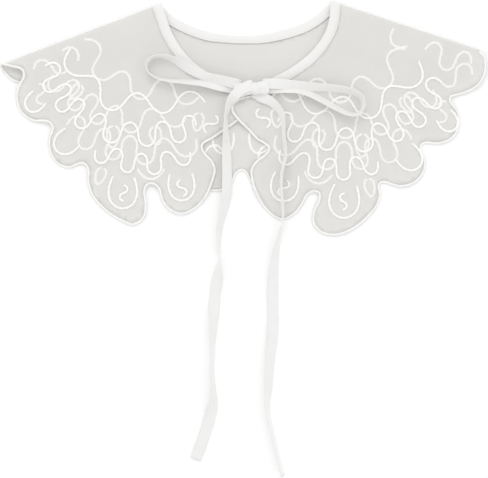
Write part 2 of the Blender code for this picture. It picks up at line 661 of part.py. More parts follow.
def main():
    for old in list(bpy.data.objects):
        bpy.data.objects.remove(old)
    collar = bpy.data.objects.new("false_collar", None)
    bpy.context.scene.collection.objects.link(collar)
    organza = material("organza", (0.80, 0.80, 0.78), 0.55, alpha=0.5)
    satin = material("satin_binding", (0.93, 0.93, 0.92), 0.5)
    thread = material("white_thread", (0.95, 0.95, 0.93), 0.45)

    left_fold = Fold(LEFT_FOLD, LEFT_TIP_REACH)
    right_fold = Fold(RIGHT_FOLD, RIGHT_TIP_REACH)
    left_half = [(CENTRE_BACK - out, down) for out, down in BACK_HALF_HEM]
    right_half = [(CENTRE_BACK + out, down) for out, down in BACK_HALF_HEM]
    back_hem_rows = BACK_LEFT_END + left_half[::-1] + BACK_CENTRE_NOTCH + right_half + BACK_RIGHT_END
    back_neck = outline_curve(BACK_NECK, left_fold, right_fold)
    back_hem = outline_curve(back_hem_rows, left_fold, right_fold, inset=-HEM_INSET)
    back_shape = back_neck + back_hem[::-1]
    left_neck = outline_curve(LEFT_NECK, start_fold=left_fold)
    left_hem = outline_curve(LEFT_HEM, end_fold=left_fold, inset=HEM_INSET)
    left_shape = left_neck + left_hem[1:]
    knot_place = laid([KNOT_CENTRE])[0]

    def front_height(point, fold):
        """The height of a front: on the back, down to the table past its hem, and up to the fold."""
        on_table = smooth((outside_by(point, back_shape) - TABLE_FALL_START) / TABLE_FALL)
        low = FRONT_HEIGHT + (FRONT_ON_TABLE - FRONT_HEIGHT) * on_table
        top = BACK_HEIGHT + 2 * FOLD_RADIUS
        rise = (top - low) * (1 - smooth((fold.depth(point) - FOLD_RADIUS) / FOLD_FALL))
        spoke = point - fold.neck
        angle = math.degrees(math.atan2(spoke.y, abs(spoke.x)))
        wave = 0.5 - 0.5 * math.cos(2 * math.pi * angle / RIPPLE_DEGREES)
        reach = smooth((fold.depth(point) - RIPPLE_START) / RIPPLE_FADE)
        reach *= smooth(((point - knot_place).length - KNOT_CALM) / RIPPLE_FADE)
        return low + rise + RIPPLE_HEIGHT * wave * reach

    def left_height(point):
        return front_height(point, left_fold)

    def right_height(point):
        over_left = 1 - smooth((outside_by(point, left_shape) - OVERLAP_START) / OVERLAP_FALL)
        return front_height(point, right_fold) + OVERLAP_LIFT * over_left

    left = Panel(left_neck, left_hem, left_height)
    right_neck = outline_curve(RIGHT_NECK, start_fold=right_fold)
    right_hem = outline_curve(RIGHT_HEM, end_fold=right_fold, inset=-HEM_INSET)
    right = Panel(right_neck, right_hem, right_height)
    back = Panel(back_neck, back_hem, lambda point: BACK_HEIGHT)
    panels = (left, back, right)
    folds = (left_fold, right_fold)

    cloth = folded_cloth(panels, folds, organza, collar)
    neck_frames = outward_frames(*cloth_edge(panels, folds, "neck"))
    hem_frames = outward_frames(*cloth_edge(panels, folds, "hem"))
    # The hem runs the other way round the cloth from the neck edge, so its outside is on the other hand.
    hem_frames = [(place, -away, normal) for place, away, normal in hem_frames]
    binding_sections = [trim_section(f, BINDING_WIDTH, BINDING_THICK) for f in neck_frames]
    binding = mesh_object("neck_binding", *swept(binding_sections), satin, collar)
    edging_frames = trimmed(hem_frames, EDGING_SETBACK)
    edging_sections = [trim_section(f, EDGING_WIDTH, EDGING_THICK) for f in edging_frames]
    edging = mesh_object("hem_edging", *swept(edging_sections), thread, collar)

    cords = []
    for run, halves, swing, lesser_swing, hand, rows in CORD_RUNS:
        path = meander(halves, swing, lesser_swing)
        left_route = along_line(laid(rows), path, hand)
        right_route = along_line(turned_over(laid(rows)), path, -hand)
        for side, route in (("left", left_route), ("right", right_route)):
            under = surface_tree([cloth, *cords])
            cords.append(couched_cord(f"cord_{side}_{run}", route, under, thread, collar))
    under_tree = surface_tree([cloth, binding, edging, *cords])
    knot(under_tree, satin, collar)
    tape("bow_loop_left", LEFT_LOOP, 1, under_tree, satin, collar)
    tape("bow_loop_right", RIGHT_LOOP, -1, under_tree, satin, collar)
    tape("tie_tail_left", LEFT_TAIL, -1, under_tree, satin, collar)
    tape("tie_tail_right", RIGHT_TAIL, -1, under_tree, satin, collar)


main()
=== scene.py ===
"""The looks of a sheer false collar that lies flat with its neck tie in a bow.

Metres in the scene, millimetres in the tables. Tables give places as (across, down): across is to the
right of the collar's middle, and down is from the shoulder line towards the hem.
"""

import json
import math

import bmesh
import bpy
import numpy as np
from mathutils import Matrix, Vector
from mathutils.bvhtree import BVHTree
from mathutils.geometry import delaunay_2d_cdt

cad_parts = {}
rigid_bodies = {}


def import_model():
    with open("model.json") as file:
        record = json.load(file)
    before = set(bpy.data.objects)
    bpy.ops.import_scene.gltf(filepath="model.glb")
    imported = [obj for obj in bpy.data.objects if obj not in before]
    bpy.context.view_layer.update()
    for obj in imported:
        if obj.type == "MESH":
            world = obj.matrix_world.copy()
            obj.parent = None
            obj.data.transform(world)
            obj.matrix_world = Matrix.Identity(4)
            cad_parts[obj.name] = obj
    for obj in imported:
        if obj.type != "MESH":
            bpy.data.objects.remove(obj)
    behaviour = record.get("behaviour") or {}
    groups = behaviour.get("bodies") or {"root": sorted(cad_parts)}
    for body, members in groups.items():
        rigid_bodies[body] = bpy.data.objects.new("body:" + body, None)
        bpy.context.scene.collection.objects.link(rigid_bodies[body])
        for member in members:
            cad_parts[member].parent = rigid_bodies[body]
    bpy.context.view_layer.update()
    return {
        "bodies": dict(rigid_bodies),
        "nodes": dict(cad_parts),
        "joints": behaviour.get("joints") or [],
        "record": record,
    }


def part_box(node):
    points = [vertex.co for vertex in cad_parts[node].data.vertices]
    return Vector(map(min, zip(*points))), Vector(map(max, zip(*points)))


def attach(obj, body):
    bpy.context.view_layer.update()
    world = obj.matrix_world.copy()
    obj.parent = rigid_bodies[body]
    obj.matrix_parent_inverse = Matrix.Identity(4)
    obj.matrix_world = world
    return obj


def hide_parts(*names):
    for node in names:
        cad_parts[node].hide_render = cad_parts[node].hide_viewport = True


MM = 0.001
MIDDLE_DOWN = 118.0

# The picture's width, the place on the table that its middle shows, and the camera's lens and sensor
PICTURE_WIDE = 488
PICTURE_MIDDLE = (0.0, 239.0)
LENS = 85.0
SENSOR = 36.0

# Sizes of the pieces, in millimetres
ORGANZA = 0.25
FOLD_RADIUS = 2.75
EDGING_WIDTH = 2.0
EDGING_HALF_HEIGHT = 0.66
EDGING_INSET = 1.8
EDGE_THREAD = 0.5
EDGE_THREAD_AT = 1.95
CORD_WIDTH = 2.45
CORD_HEIGHT = 1.15
BACK_CORD_LOW = 0.05
BACK_CORD_HEIGHT = 0.78
TAPE_WIDTH = 10.5
TAPE_THICK = 0.9
WEAVE_PITCH = 0.45
TAPE_WEAVE_PITCH = 0.5

# Heights of the cloth's middle layer above the table, in millimetres
BACK_HEIGHT = 0.5
FRONT_HEIGHT = 2.5
FRONT_ON_TABLE = 0.75
OVERLAP_LIFT = 1.7
RIPPLE_HEIGHT = 1.0
RIPPLE_DEGREES = 19.0
FOLD_FALL = 45.0
TABLE_FALL_START = 3.5
TABLE_FALL = 16.0
OVERLAP_START = 3.0
OVERLAP_FALL = 14.0
RIPPLE_START = 15.0
RIPPLE_FADE = 60.0
KNOT_CALM = 50.0
INSET_FADE = 9.0
CREASE_START = 12.0
CREASE_FADE = 25.0
CREASE_END_SHARE = 0.35

# The least height of each low piece above the table, in millimetres
BINDING_CLEARANCE = 0.05
EDGING_CLEARANCE = 0.04
STITCH_CLEARANCE = 0.02
TAPE_CLEARANCE = 0.05

# How finely the shapes are made, in millimetres or as counts
CLOTH_GRID = 4.5
CURVE_STEP = 0.5
EDGE_STEP = 2.5
CORD_STEP = 0.8
TAPE_STEP = 1.5
LOOP_STEPS = 60
MEANDER_STEPS = 40
BEND_STEPS = 14
BEND_COLUMNS = 44
CORD_SIDES = 10
EDGING_SIDES = 10
THREAD_SIDES = 6

# Each shoulder fold, as (across, down) at the neck and at the hem
LEFT_FOLD = ((-82.8, 4.1), (-243.3, 65.1))
RIGHT_FOLD = ((87.8, 1.7), (230.7, 48.8))
LEFT_TIP_REACH = 2.0
RIGHT_TIP_REACH = 1.5

# Neck edge of the cloth, where the binding starts, from the shoulder to the centre front
LEFT_NECK = [(-90.3, 9), (-87.8, 16), (-80.6, 36), (-65.2, 60), (-43, 79.2), (-19, 89.8), (-12, 92.5)]
RIGHT_NECK = [(95.4, 7), (95, 15), (92.5, 28), (87.8, 39.2), (72.6, 59.4), (51.1, 76), (31, 87.3)]
RIGHT_NECK += [(24, 92.3)]
BACK_NECK = [(-90, 9), (-75, 24), (-59, 32.3), (-39, 39.5), (-19, 42.1), (6, 43), (21, 42.3)]
BACK_NECK += [(46, 36.9), (66, 29.5), (84, 17), (94, 7)]

# Hem of each front, one row for a scallop or the notch after it, from the centre front to the fold
LEFT_HEM = [
    (-12, 92.5), (-4, 97.5), (1, 101), (3, 108), (-2, 117),
    (-19, 130), (-32, 139), (-40, 143.5), (-41.5, 147.5), (-38, 154), (-32, 160),
    (-28.5, 169), (-31, 181), (-38, 197), (-49, 209), (-63, 214.5), (-76, 209), (-83, 199),
    (-85, 190.5), (-88, 186), (-93, 184), (-97.5, 186.5),
    (-99, 192), (-97.5, 203), (-99.5, 217), (-110, 225), (-124, 220.5), (-140, 210),
    (-152, 196), (-157, 181), (-156.5, 170.5), (-159, 165), (-163, 163.7),
    (-176, 168), (-188, 163), (-195, 151), (-195.5, 138), (-192, 128.5), (-193.5, 124),
    (-198, 121.7), (-211, 121), (-223, 113), (-228.2, 99), (-225.5, 86),
    (-220.5, 76.5), (-221.5, 71), (-227, 67.7), (-234, 66.4),
]
RIGHT_HEM = [
    (24, 92.3), (14, 94.6), (3, 96.2), (-6.5, 99.5), (-12, 105), (-12.2, 111.5), (-8, 118),
    (4, 130), (13, 139.5), (21.5, 144.5), (24.5, 148.5), (20, 155), (12, 161),
    (7, 169), (8, 182), (13.5, 197), (24, 212), (38, 220), (51, 214), (58.5, 204.5),
    (63, 196), (69, 192), (74.5, 193.5), (74.5, 200),
    (69.5, 211), (69, 223.5), (78, 233), (92, 235.5), (108, 230), (123, 218.5),
    (134, 205), (137, 193), (135.5, 186), (137.5, 183), (142, 183),
    (156, 187), (170, 183.5), (180, 173), (182, 160), (177.5, 148.5), (178, 145),
    (181.5, 143.3), (195, 144), (208, 139), (215.5, 127), (215, 112),
    (207, 101), (207, 97.5), (210, 96), (223, 92.5), (235, 85), (241.3, 72), (240.5, 60), (234, 52),
]

# Hem of the back, one half, as (outwards from the centre back, down), one row for a scallop or notch
CENTRE_BACK = -2.5
BACK_HALF_HEM = [
    (5, 173.5), (8.5, 181), (15, 188.5), (27, 191.3), (42, 187.5), (53, 179),
    (60, 171), (66, 174.5), (78, 178.8), (91, 178), (102, 170.5), (108.5, 158),
    (111, 149.5), (115, 146.8), (124, 150), (138, 154), (151, 149.5), (159, 138),
    (161.5, 126), (166, 121.5), (176, 121.8), (187, 121), (198, 114.5), (204.5, 103),
    (205, 92), (208, 86), (215, 83.5), (227, 81.5), (235, 76),
]
BACK_CENTRE_NOTCH = [(CENTRE_BACK, 170.5)]
BACK_LEFT_END = [(-241, 70)]
BACK_RIGHT_END = [(239, 67), (234, 54)]

# Soft creases in the fronts, as (start, end, half width, height); a trough has a height below 0
CREASES = [
    ((-178, 52), (-98, 30), 13, 0.9),
    ((-205, 72), (-120, 62), 10, -0.8),
    ((-196, 98), (-150, 78), 8, 0.5),
    ((-160, 150), (-118, 128), 11, -0.5),
    ((-120, 196), (-104, 150), 9, 0.5),
    ((-60, 196), (-66, 150), 8, -0.45),
    ((104, 40), (190, 62), 12, 0.8),
    ((112, 60), (178, 92), 9, -0.7),
    ((186, 128), (148, 108), 10, 0.5),
    ((150, 172), (120, 140), 9, -0.5),
    ((98, 214), (92, 160), 10, 0.55),
    ((36, 206), (48, 150), 9, -0.5),
]

# Couched cord on the left front, as (name, half loops, swing of the heading in degrees, lesser swing,
# hand of the first loop, the line it wanders along); the right front has the runs turned over
CORD_RUNS = [
    ("garland", 6, 54, 10, -1, [(-173, 49), (-157, 83), (-120, 103), (-76, 103), (-38, 103)]),
    ("ramble", 13, 92, 10, 1, [(-199, 67), (-177, 103), (-136, 130), (-88, 134), (-48, 126)]),
    ("lower_ramble", 7, 82, 8, -1, [(-148, 150), (-118, 161), (-84, 163), (-54, 152)]),
    ("first_hook", 1, 100, 0, -1, [(-210, 91), (-198, 103)]),
    ("second_hook", 1, 98, 0, -1, [(-178, 128), (-164, 145)]),
    ("long_hook", 1, 111, 0, -1, [(-131, 176), (-110, 177)]),
    ("long_inner", 2, 72, 0, 1, [(-121, 185), (-120, 201)]),
    ("front_hook", 1, 105, 0, -1, [(-74, 174), (-52, 173)]),
    ("front_inner", 2, 72, 0, -1, [(-63, 180), (-61, 196)]),
    ("centre_bend", 2, 74, 0, 1, [(-37, 133), (-29, 115)]),
]
LESSER_SWING_HALVES = 1.7

# How the left front's runs are turned and stretched on the right front
TURNED_DEGREES = -8.0
TURNED_STRETCH = 1.04

# Duller cord sunk into the left front, in the same columns but the name, and more near each shoulder tip
TONAL_RUNS = [
    (6, 58, 12, 1, [(-160, 39.5), (-144, 68), (-114, 86), (-74, 90), (-44, 96)]),
    (9, 84, 16, -1, [(-190, 74), (-162, 100), (-128, 118), (-90, 120), (-58, 114)]),
    (8, 84, 14, 1, [(-178, 126), (-146, 142), (-108, 151), (-72, 150), (-48, 138)]),
    (2, 76, 0, 1, [(-206, 84), (-200, 104)]),
    (1, 60, 0, -1, [(-107, 168), (-79, 168)]),
]
TIP_RUNS = {
    "left": [
        (2, 62, 0, 1, [(-210, 71), (-190, 65), (-176, 70)]),
        (1, 70, 0, 1, [(-182, 52), (-166, 62)]),
    ],
    "right": [
        (3, 78, 8, 1, [(180, 51), (204, 60), (226, 65)]),
        (2, 80, 0, -1, [(196, 80), (212, 74), (228, 76)]),
        (1, 70, 0, -1, [(150, 28), (164, 46)]),
    ],
}
TONAL_LOW = -0.62
TONAL_HEIGHT = 0.96
TONAL_WIDTH = 2.9

# Closed loops of that cord, as (across, down, length, width, turn in degrees), and how far they narrow
LOOP_NARROWING = 0.22
TONAL_LOOPS = [
    (-168, 92, 17, 13, 55),
    (-131, 137, 22, 16, 85),
    (-88, 136, 18, 14, 100),
    (-144, 176, 17, 12, 70),
    (-46, 122, 18, 13, 80),
]

# Couched cord on one half of the back, as (outwards from the centre back, down), in the same columns
BACK_RUNS = [
    (5, 56, 9, 1, [(12, 96), (58, 96), (104, 84), (140, 64), (157, 44)]),
    (9, 90, 12, -1, [(8, 132), (60, 134), (110, 116), (152, 88), (182, 58)]),
    (1, 100, 0, 1, [(18, 164), (36, 164)]),
    (1, 100, 0, 1, [(74, 157), (92, 155)]),
    (1, 100, 0, 1, [(126, 134), (142, 126)]),
    (1, 96, 0, 1, [(174, 104), (186, 94)]),
]

# The twist of the two plies in every cord, and how full a cord is at its ends
PLY_DEPTH = 0.09
PLY_TWIST = 0.9
CORD_END_SHARE = 0.55

# The binding's upper half across the neck edge, as (outwards, up), and how much narrower it is on the back
BINDING_PROFILE = [(-0.5, 0.42), (0.25, 0.72), (0.75, 0.78), (1.3, 0.6), (1.9, 0.8), (4.8, 0.98)]
BINDING_PROFILE += [(7.6, 0.92), (8.8, 0.68), (9.3, 0.25)]
BACK_BINDING_LESS = 0.12
MIDDLE_BINDING_LESS = 0.16
BINDING_ROLL_REACH = 50.0

# The binding's stitches: where their row lies, their size, and their rise as (share along, lift)
STITCH_OUT = 1.3
STITCH_UP = 0.62
STITCH_PITCH = 2.6
STITCH_LENGTH = 1.9
STITCH_WIDTH = 0.42
STITCH_FLATNESS = 0.7
STITCH_AHEAD = 0.2
STITCH_ARC = [(0.0, -0.12), (0.2, 0.1), (0.5, 0.16), (0.8, 0.1), (1.0, -0.12)]

# Unevenness along a piece, as waves of (height, radians for each section, start)
EDGING_SWELLS = [(0.07, 1.9, 0.0), (0.05, 0.73, 1.0)]
TAPE_CUPS = [(0.35, 0.21, 0.0), (0.2, 0.083, 1.3)]

# The tie's tape, as (across, down, lift over what it lies on, tilt from flat in degrees)
LEFT_LOOP = [
    (-3.5, 89.2, 0.8, 0), (-9.5, 88.8, 0.8, 0), (-24, 86.9, 0.8, 20), (-40, 84.1, 0.8, 44),
    (-58, 82.4, 0.6, 57), (-76, 81.2, 0.6, 68), (-88.5, 78, 0.6, 78), (-95.6, 71.8, 0.6, 83),
    (-96.8, 65.6, 0.6, 84), (-93.2, 59.9, 0.6, 84), (-85, 57.2, 0.6, 82), (-74, 59, 0.6, 68),
    (-62, 65, 0.8, 40), (-50, 71.8, 1.2, 26), (-37, 77.6, 1.8, 38), (-22, 81.2, 2.4, 30),
    (-10.5, 84, 3.0, 12), (-3.5, 85.8, 3.0, 0),
]
RIGHT_LOOP = [
    (18.5, 89.2, 0.8, 0), (24.5, 89, 0.8, 0), (40, 88.7, 0.8, 16), (54, 90.5, 0.8, 38),
    (66, 94.7, 0.6, 46), (78, 101, 0.6, 50), (90, 107.8, 0.6, 53), (102, 113.6, 0.6, 58),
    (110.5, 115.3, 0.6, 66), (116.4, 112, 0.6, 74), (118.8, 105, 0.6, 74), (116.8, 98.3, 0.6, 71),
    (109.4, 93.1, 0.6, 63), (98, 90.2, 0.8, 57), (84, 88.7, 1.2, 50), (66, 87.5, 2.0, 40),
    (48, 86, 3.0, 26), (34, 84.8, 3.4, 10), (24.5, 84.3, 3.6, 0), (18.5, 84.8, 3.0, 0),
]
LEFT_TAIL = [
    (9, 86, -1.2, 0), (5, 87, -0.5, 0), (0.5, 89.2, 0.0, 2), (-4.5, 92.6, -0.3, 7),
    (-9.5, 97.2, -0.9, 20), (-13.6, 102.4, -0.7, 46), (-16.5, 110.5, 0.3, 65), (-18, 120.5, 0.4, 72),
    (-17.8, 133, 0.5, 58), (-17.3, 148, 0.5, 34), (-17, 165, 0.5, 24), (-17, 182, 0.5, 24),
    (-17.5, 196, 0.4, 28), (-20, 209, 0.2, 38), (-23, 221, 0.1, 52), (-25, 234, 0.1, 62),
    (-25, 246, 0.1, 72), (-24.6, 257, 0.1, 90), (-25.8, 268, 0.1, 128), (-27.6, 280, 0.1, 160),
    (-28.8, 292, 0.1, 178), (-29.6, 306, 0.1, 190), (-30.2, 320, 0.1, 214), (-31, 335, 0.1, 230),
    (-31.6, 350, 0.1, 246), (-31.8, 365, 0.1, 250), (-31.4, 380, 0.1, 247),
    (-30.7, 392, 0.1, 238), (-30.8, 403, 0.1, 216), (-33, 414, 0.1, 194), (-36.5, 426, 0.1, 185),
    (-40.5, 438, 0.1, 182), (-44.7, 450, 0.1, 184), (-48.5, 459.5, 0.1, 182),
]
RIGHT_TAIL = [
    (9, 92.5, -1.0, 0), (13.5, 95, -0.3, -6),
    (18.5, 98.2, 0.6, -12), (25, 101, 0.5, -28), (32, 107, 0.5, -44), (37, 114.5, 0.5, -58),
    (39, 125, 0.5, -70), (39.5, 137, 0.5, -73), (41, 148, 0.5, -74), (41, 158, 0.5, -74),
    (38.5, 168, 0.5, -76), (37, 180, 0.5, -78), (37.3, 192, 0.5, -80), (38.3, 204, 0.5, -78),
    (39, 214, 0.5, -83), (38.2, 222, 0.3, -90), (36, 232, 0.1, -102), (33.5, 243, 0.1, -118),
    (31.5, 254, 0.1, -134), (30.3, 265, 0.1, -146), (29.5, 277, 0.1, -156),
    (29, 291, 0.1, -166), (29, 306, 0.1, -172), (29.4, 321, 0.1, -168), (28.8, 336, 0.1, -160),
    (27.3, 351, 0.1, -152), (25.9, 364, 0.1, -146), (25, 377, 0.1, -142), (24.4, 389, 0.1, -138),
    (23.6, 399, 0.1, -120), (23.3, 409, 0.1, -116), (25, 419, 0.1, -108), (27.5, 429, 0.1, -107),
    (29.8, 439, 0.1, -107), (32.7, 451, 0.1, -105), (35.7, 463, 0.1, -103), (38.5, 475, 0.1, -112),
]

# Half of the tape's outline, as (share of the half width, share of the thickness)
TAPE_PROFILE = [(-1.0, 0.0), (-0.97, 0.34), (-0.86, 0.5), (-0.74, 0.36), (-0.5, 0.46), (0.0, 0.5)]
TAPE_PROFILE += [(0.6, 0.48), (0.9, 0.5), (0.98, 0.3), (1.0, 0.0)]

# Where the tape looks for what it lies on, and over how many stations it eases
PROBE_SHARES = (-0.6, -0.3, 0.0, 0.3, 0.6)
PROBE_STEPS = (-2.4, 0.0, 2.4)
PROBE_FROM = 60.0
EASE_STATIONS = 3

# The knot's body along its length, as (along, half width, half height)
KNOT_CENTRE = (7.5, 89.5)
KNOT_TURN_DEGREES = 6.0
KNOT_PROFILE = [
    (-17.5, 4.6, 1.6), (-15.5, 6.3, 2.9), (-10, 6.7, 3.7), (-5, 6.0, 3.9), (0, 5.4, 4.0),
    (5, 5.6, 4.0), (10, 6.5, 3.8), (15, 6.8, 3.0), (17.5, 5.0, 1.8),
]
KNOT_RISE = 4.4
KNOT_SIDES = 48

# Its pleats, as waves of (pleats round it, share of the depth, drift for each millimetre)
KNOT_PLEATS = [(7, 1.0, 0.16), (3, 0.5, -0.3)]
KNOT_PLEAT_DEPTH = 0.5
KNOT_PLEAT_RISE = 0.6
KNOT_PLEAT_FADE = 5.0

# The turn of tape round the knot, and its outline as (share of the half width, outwards)
WRAP_WIDTH = 8.5
WRAP_PINCH = 0.12
WRAP_SLANT = 3.0
WRAP_SLANT_FROM = 0.4
WRAP_AT = 2.5
WRAP_REACH = (5.9, 4.35)
WRAP_STEPS = 64
WRAP_PROFILE = [(-1.0, 0.0), (-0.96, 0.3), (-0.84, 0.42), (-0.6, 0.2), (-0.3, 0.5), (0.0, 0.3)]
WRAP_PROFILE += [(0.35, 0.55), (0.65, 0.3), (0.86, 0.45), (0.97, 0.3), (1.0, 0.0), (0.9, -0.3)]
WRAP_PROFILE += [(0.0, -0.4), (-0.9, -0.3)]

# The lights, as (name, place, size, watts), the place they look at, and the light all round
LIGHTS = [("key_light", (-0.25, 1.3, 1.5), 1.0, 5.6), ("fill_light", (0.9, -0.9, 1.6), 1.4, 1.6)]
LIGHTS_AIM = (0, -0.05, 0)
SKY_STRENGTH = 0.95

# The floor, in metres: half its side, and how far it is below the table's plane
FLOOR_HALF = 3.0
FLOOR_DROP = 0.0004


def laid(rows):
    """Rows of (across, down) as points on the table, in millimetres."""
    return [Vector((across, MIDDLE_DOWN - down)) for across, down in rows]


def smooth(share):
    """A soft step from 0 to 1, also for arrays."""
    share = np.clip(share, 0.0, 1.0)
    return share * share * (3 - 2 * share)


def spline(points):
    """A dense smooth curve through the points, of any number of coordinates."""
    ends = [2 * points[0] - points[1], *points, 2 * points[-1] - points[-2]]
    chain = []
    for a, b, c, d in zip(ends, ends[1:], ends[2:], ends[3:]):
        t1 = math.sqrt((b - a).length)
        t2 = t1 + math.sqrt((c - b).length)
        t3 = t2 + math.sqrt((d - c).length)
        count = max(2, math.ceil((c - b).length / CURVE_STEP))
        for k in range(count):
            t = t1 + (t2 - t1) * k / count
            ab = a + (b - a) * (t / t1)
            bc = b + (c - b) * ((t - t1) / (t2 - t1))
            cd = c + (d - c) * ((t - t2) / (t3 - t2))
            abc = ab + (bc - ab) * (t / t2)
            bcd = bc + (cd - bc) * ((t - t1) / (t3 - t1))
            chain.append(abc + (bcd - abc) * ((t - t1) / (t2 - t1)))
    return [*chain, points[-1].copy()]


def spaced(chain, step):
    """Points at even steps along a dense chain, with both of its ends."""
    points = np.array([tuple(p) for p in chain])
    lengths = np.concatenate([[0.0], np.cumsum(np.linalg.norm(np.diff(points, axis=0), axis=1))])
    count = max(2, round(lengths[-1] / step))
    at = np.linspace(0.0, lengths[-1], count + 1)
    made = np.stack([np.interp(at, lengths, points[:, k]) for k in range(points.shape[1])], axis=1)
    return [Vector(p) for p in made]


def chain_lengths(chain):
    """How far along a chain each of its points is."""
    lengths = [0.0]
    for a, b in zip(chain, chain[1:]):
        lengths.append(lengths[-1] + (b - a).length)
    return lengths


def towards(degrees):
    """The direction on the table at an angle from across."""
    return Vector((math.cos(math.radians(degrees)), math.sin(math.radians(degrees))))


def headings(chain):
    """The direction along a chain at each of its points."""
    return [(b - a).normalized() for a, b in zip([chain[0], *chain[:-1]], [*chain[1:], chain[-1]])]


def turns(count):
    """Even turns round a circle, in radians."""
    return [2 * math.pi * k / count for k in range(count)]


def waves(table, at):
    """The sum of some sine waves at a place along them."""
    return sum(height * math.sin(pace * at + start) for height, pace, start in table)


def inside(points, outline):
    """Which of the points are inside a closed outline."""
    x, y = points[:, :1], points[:, 1:2]
    ax, ay = outline[:, 0], outline[:, 1]
    bx, by = np.roll(ax, -1), np.roll(ay, -1)
    crosses = (ay > y) != (by > y)
    at = ax + (bx - ax) * (y - ay) / np.where(by == ay, 1.0, by - ay)
    return (crosses & (x < at)).sum(axis=1) % 2 == 1


def near_outline(points, outline):
    """How far each point is from a closed outline."""
    nearest = np.full(len(points), np.inf)
    for a, b in zip(outline, np.roll(outline, -1, axis=0)):
        ab = b - a
        rel = points - a
        share = np.clip(rel @ ab / max(ab @ ab, 1e-12), 0.0, 1.0)
        off = rel - share[:, None] * ab
        nearest = np.minimum(nearest, np.hypot(off[:, 0], off[:, 1]))
    return nearest


def outside_by(points, outline):
    """How far each point is outside a closed outline, and 0 inside it."""
    return np.where(inside(points, outline), 0.0, near_outline(points, outline))


def flat_array(points):
    return np.array([(p.x, p.y) for p in points])


def level(height):
    """A level surface, as a function that gives the heights at some points."""
    return lambda points: np.full(len(points), height)


class Fold:
    """A shoulder fold: a straight line where the cloth turns over a small radius."""

    def __init__(self, ends, tip_reach):
        self.neck, hem = laid(ends)
        self.along = (hem - self.neck).normalized()
        self.inwards = self.along.orthogonal()
        if self.inwards.y > 0:
            self.inwards.negate()
        self.tip_reach = tip_reach

    def depth(self, point):
        return (point - self.neck).dot(self.inwards)

    def reach(self, point):
        return (point - self.neck).dot(self.along)

    def at(self, reach, depth):
        return self.neck + self.along * reach + self.inwards * depth

    def seated(self, point):
        """The point moved onto the line where the flat cloth starts to bend."""
        return self.at(self.reach(point), FOLD_RADIUS)

    def bend(self, back_reach, front_reach, share, end_share):
        """(place, outward normal) on the bend, from 0 at the back to 1 at the front."""
        turn = math.pi * share
        reach = back_reach + (front_reach - back_reach) * share
        reach += self.tip_reach * math.sin(turn) * end_share**6
        flat = self.at(reach, FOLD_RADIUS * (1 - math.sin(turn)))
        place = Vector((flat.x, flat.y, BACK_HEIGHT + FOLD_RADIUS * (1 - math.cos(turn))))
        sideways = -self.inwards * math.sin(turn)
        return place, Vector((sideways.x, sideways.y, -math.cos(turn)))


class Panel:
    """A flat stretch of the cloth: its neck edge, its hem and the heights of its middle layer."""

    def __init__(self, neck, hem, height):
        self.neck = neck
        self.hem = hem
        self.height = height

    def lift(self, points):
        heights = self.height(flat_array(points))
        return [Vector((p.x, p.y, z)) for p, z in zip(points, heights)]

    def frames(self, points, up):
        """(place, normal) of the cloth at some points, with the normal up or down."""
        flat = flat_array(points)
        slopes = []
        for step in ((1.0, 0.0), (0.0, 1.0)):
            slopes.append((self.height(flat + step) - self.height(flat - step)) / 2)
        hand = 1 if up else -1
        normals = [Vector((-x, -y, 1)).normalized() * hand for x, y in zip(*slopes)]
        return list(zip(self.lift(points), normals))


def outline_curve(rows, start_fold=None, end_fold=None, inset=0.0):
    """An edge of the cloth through the table's rows, moved in, with its ends seated on the folds."""
    points = laid(rows)
    if start_fold:
        points[0] = start_fold.seated(points[0])
    if end_fold:
        points[-1] = end_fold.seated(points[-1])
    chain = spline(points)
    moved = []
    for place, ahead in zip(chain, headings(chain)):
        held = 1.0
        for fold in (start_fold, end_fold):
            if fold:
                held *= float(smooth((fold.depth(place) - FOLD_RADIUS) / INSET_FADE))
        moved.append(place + Vector((ahead.y, -ahead.x)) * inset * held)
    return spaced(moved, EDGE_STEP)


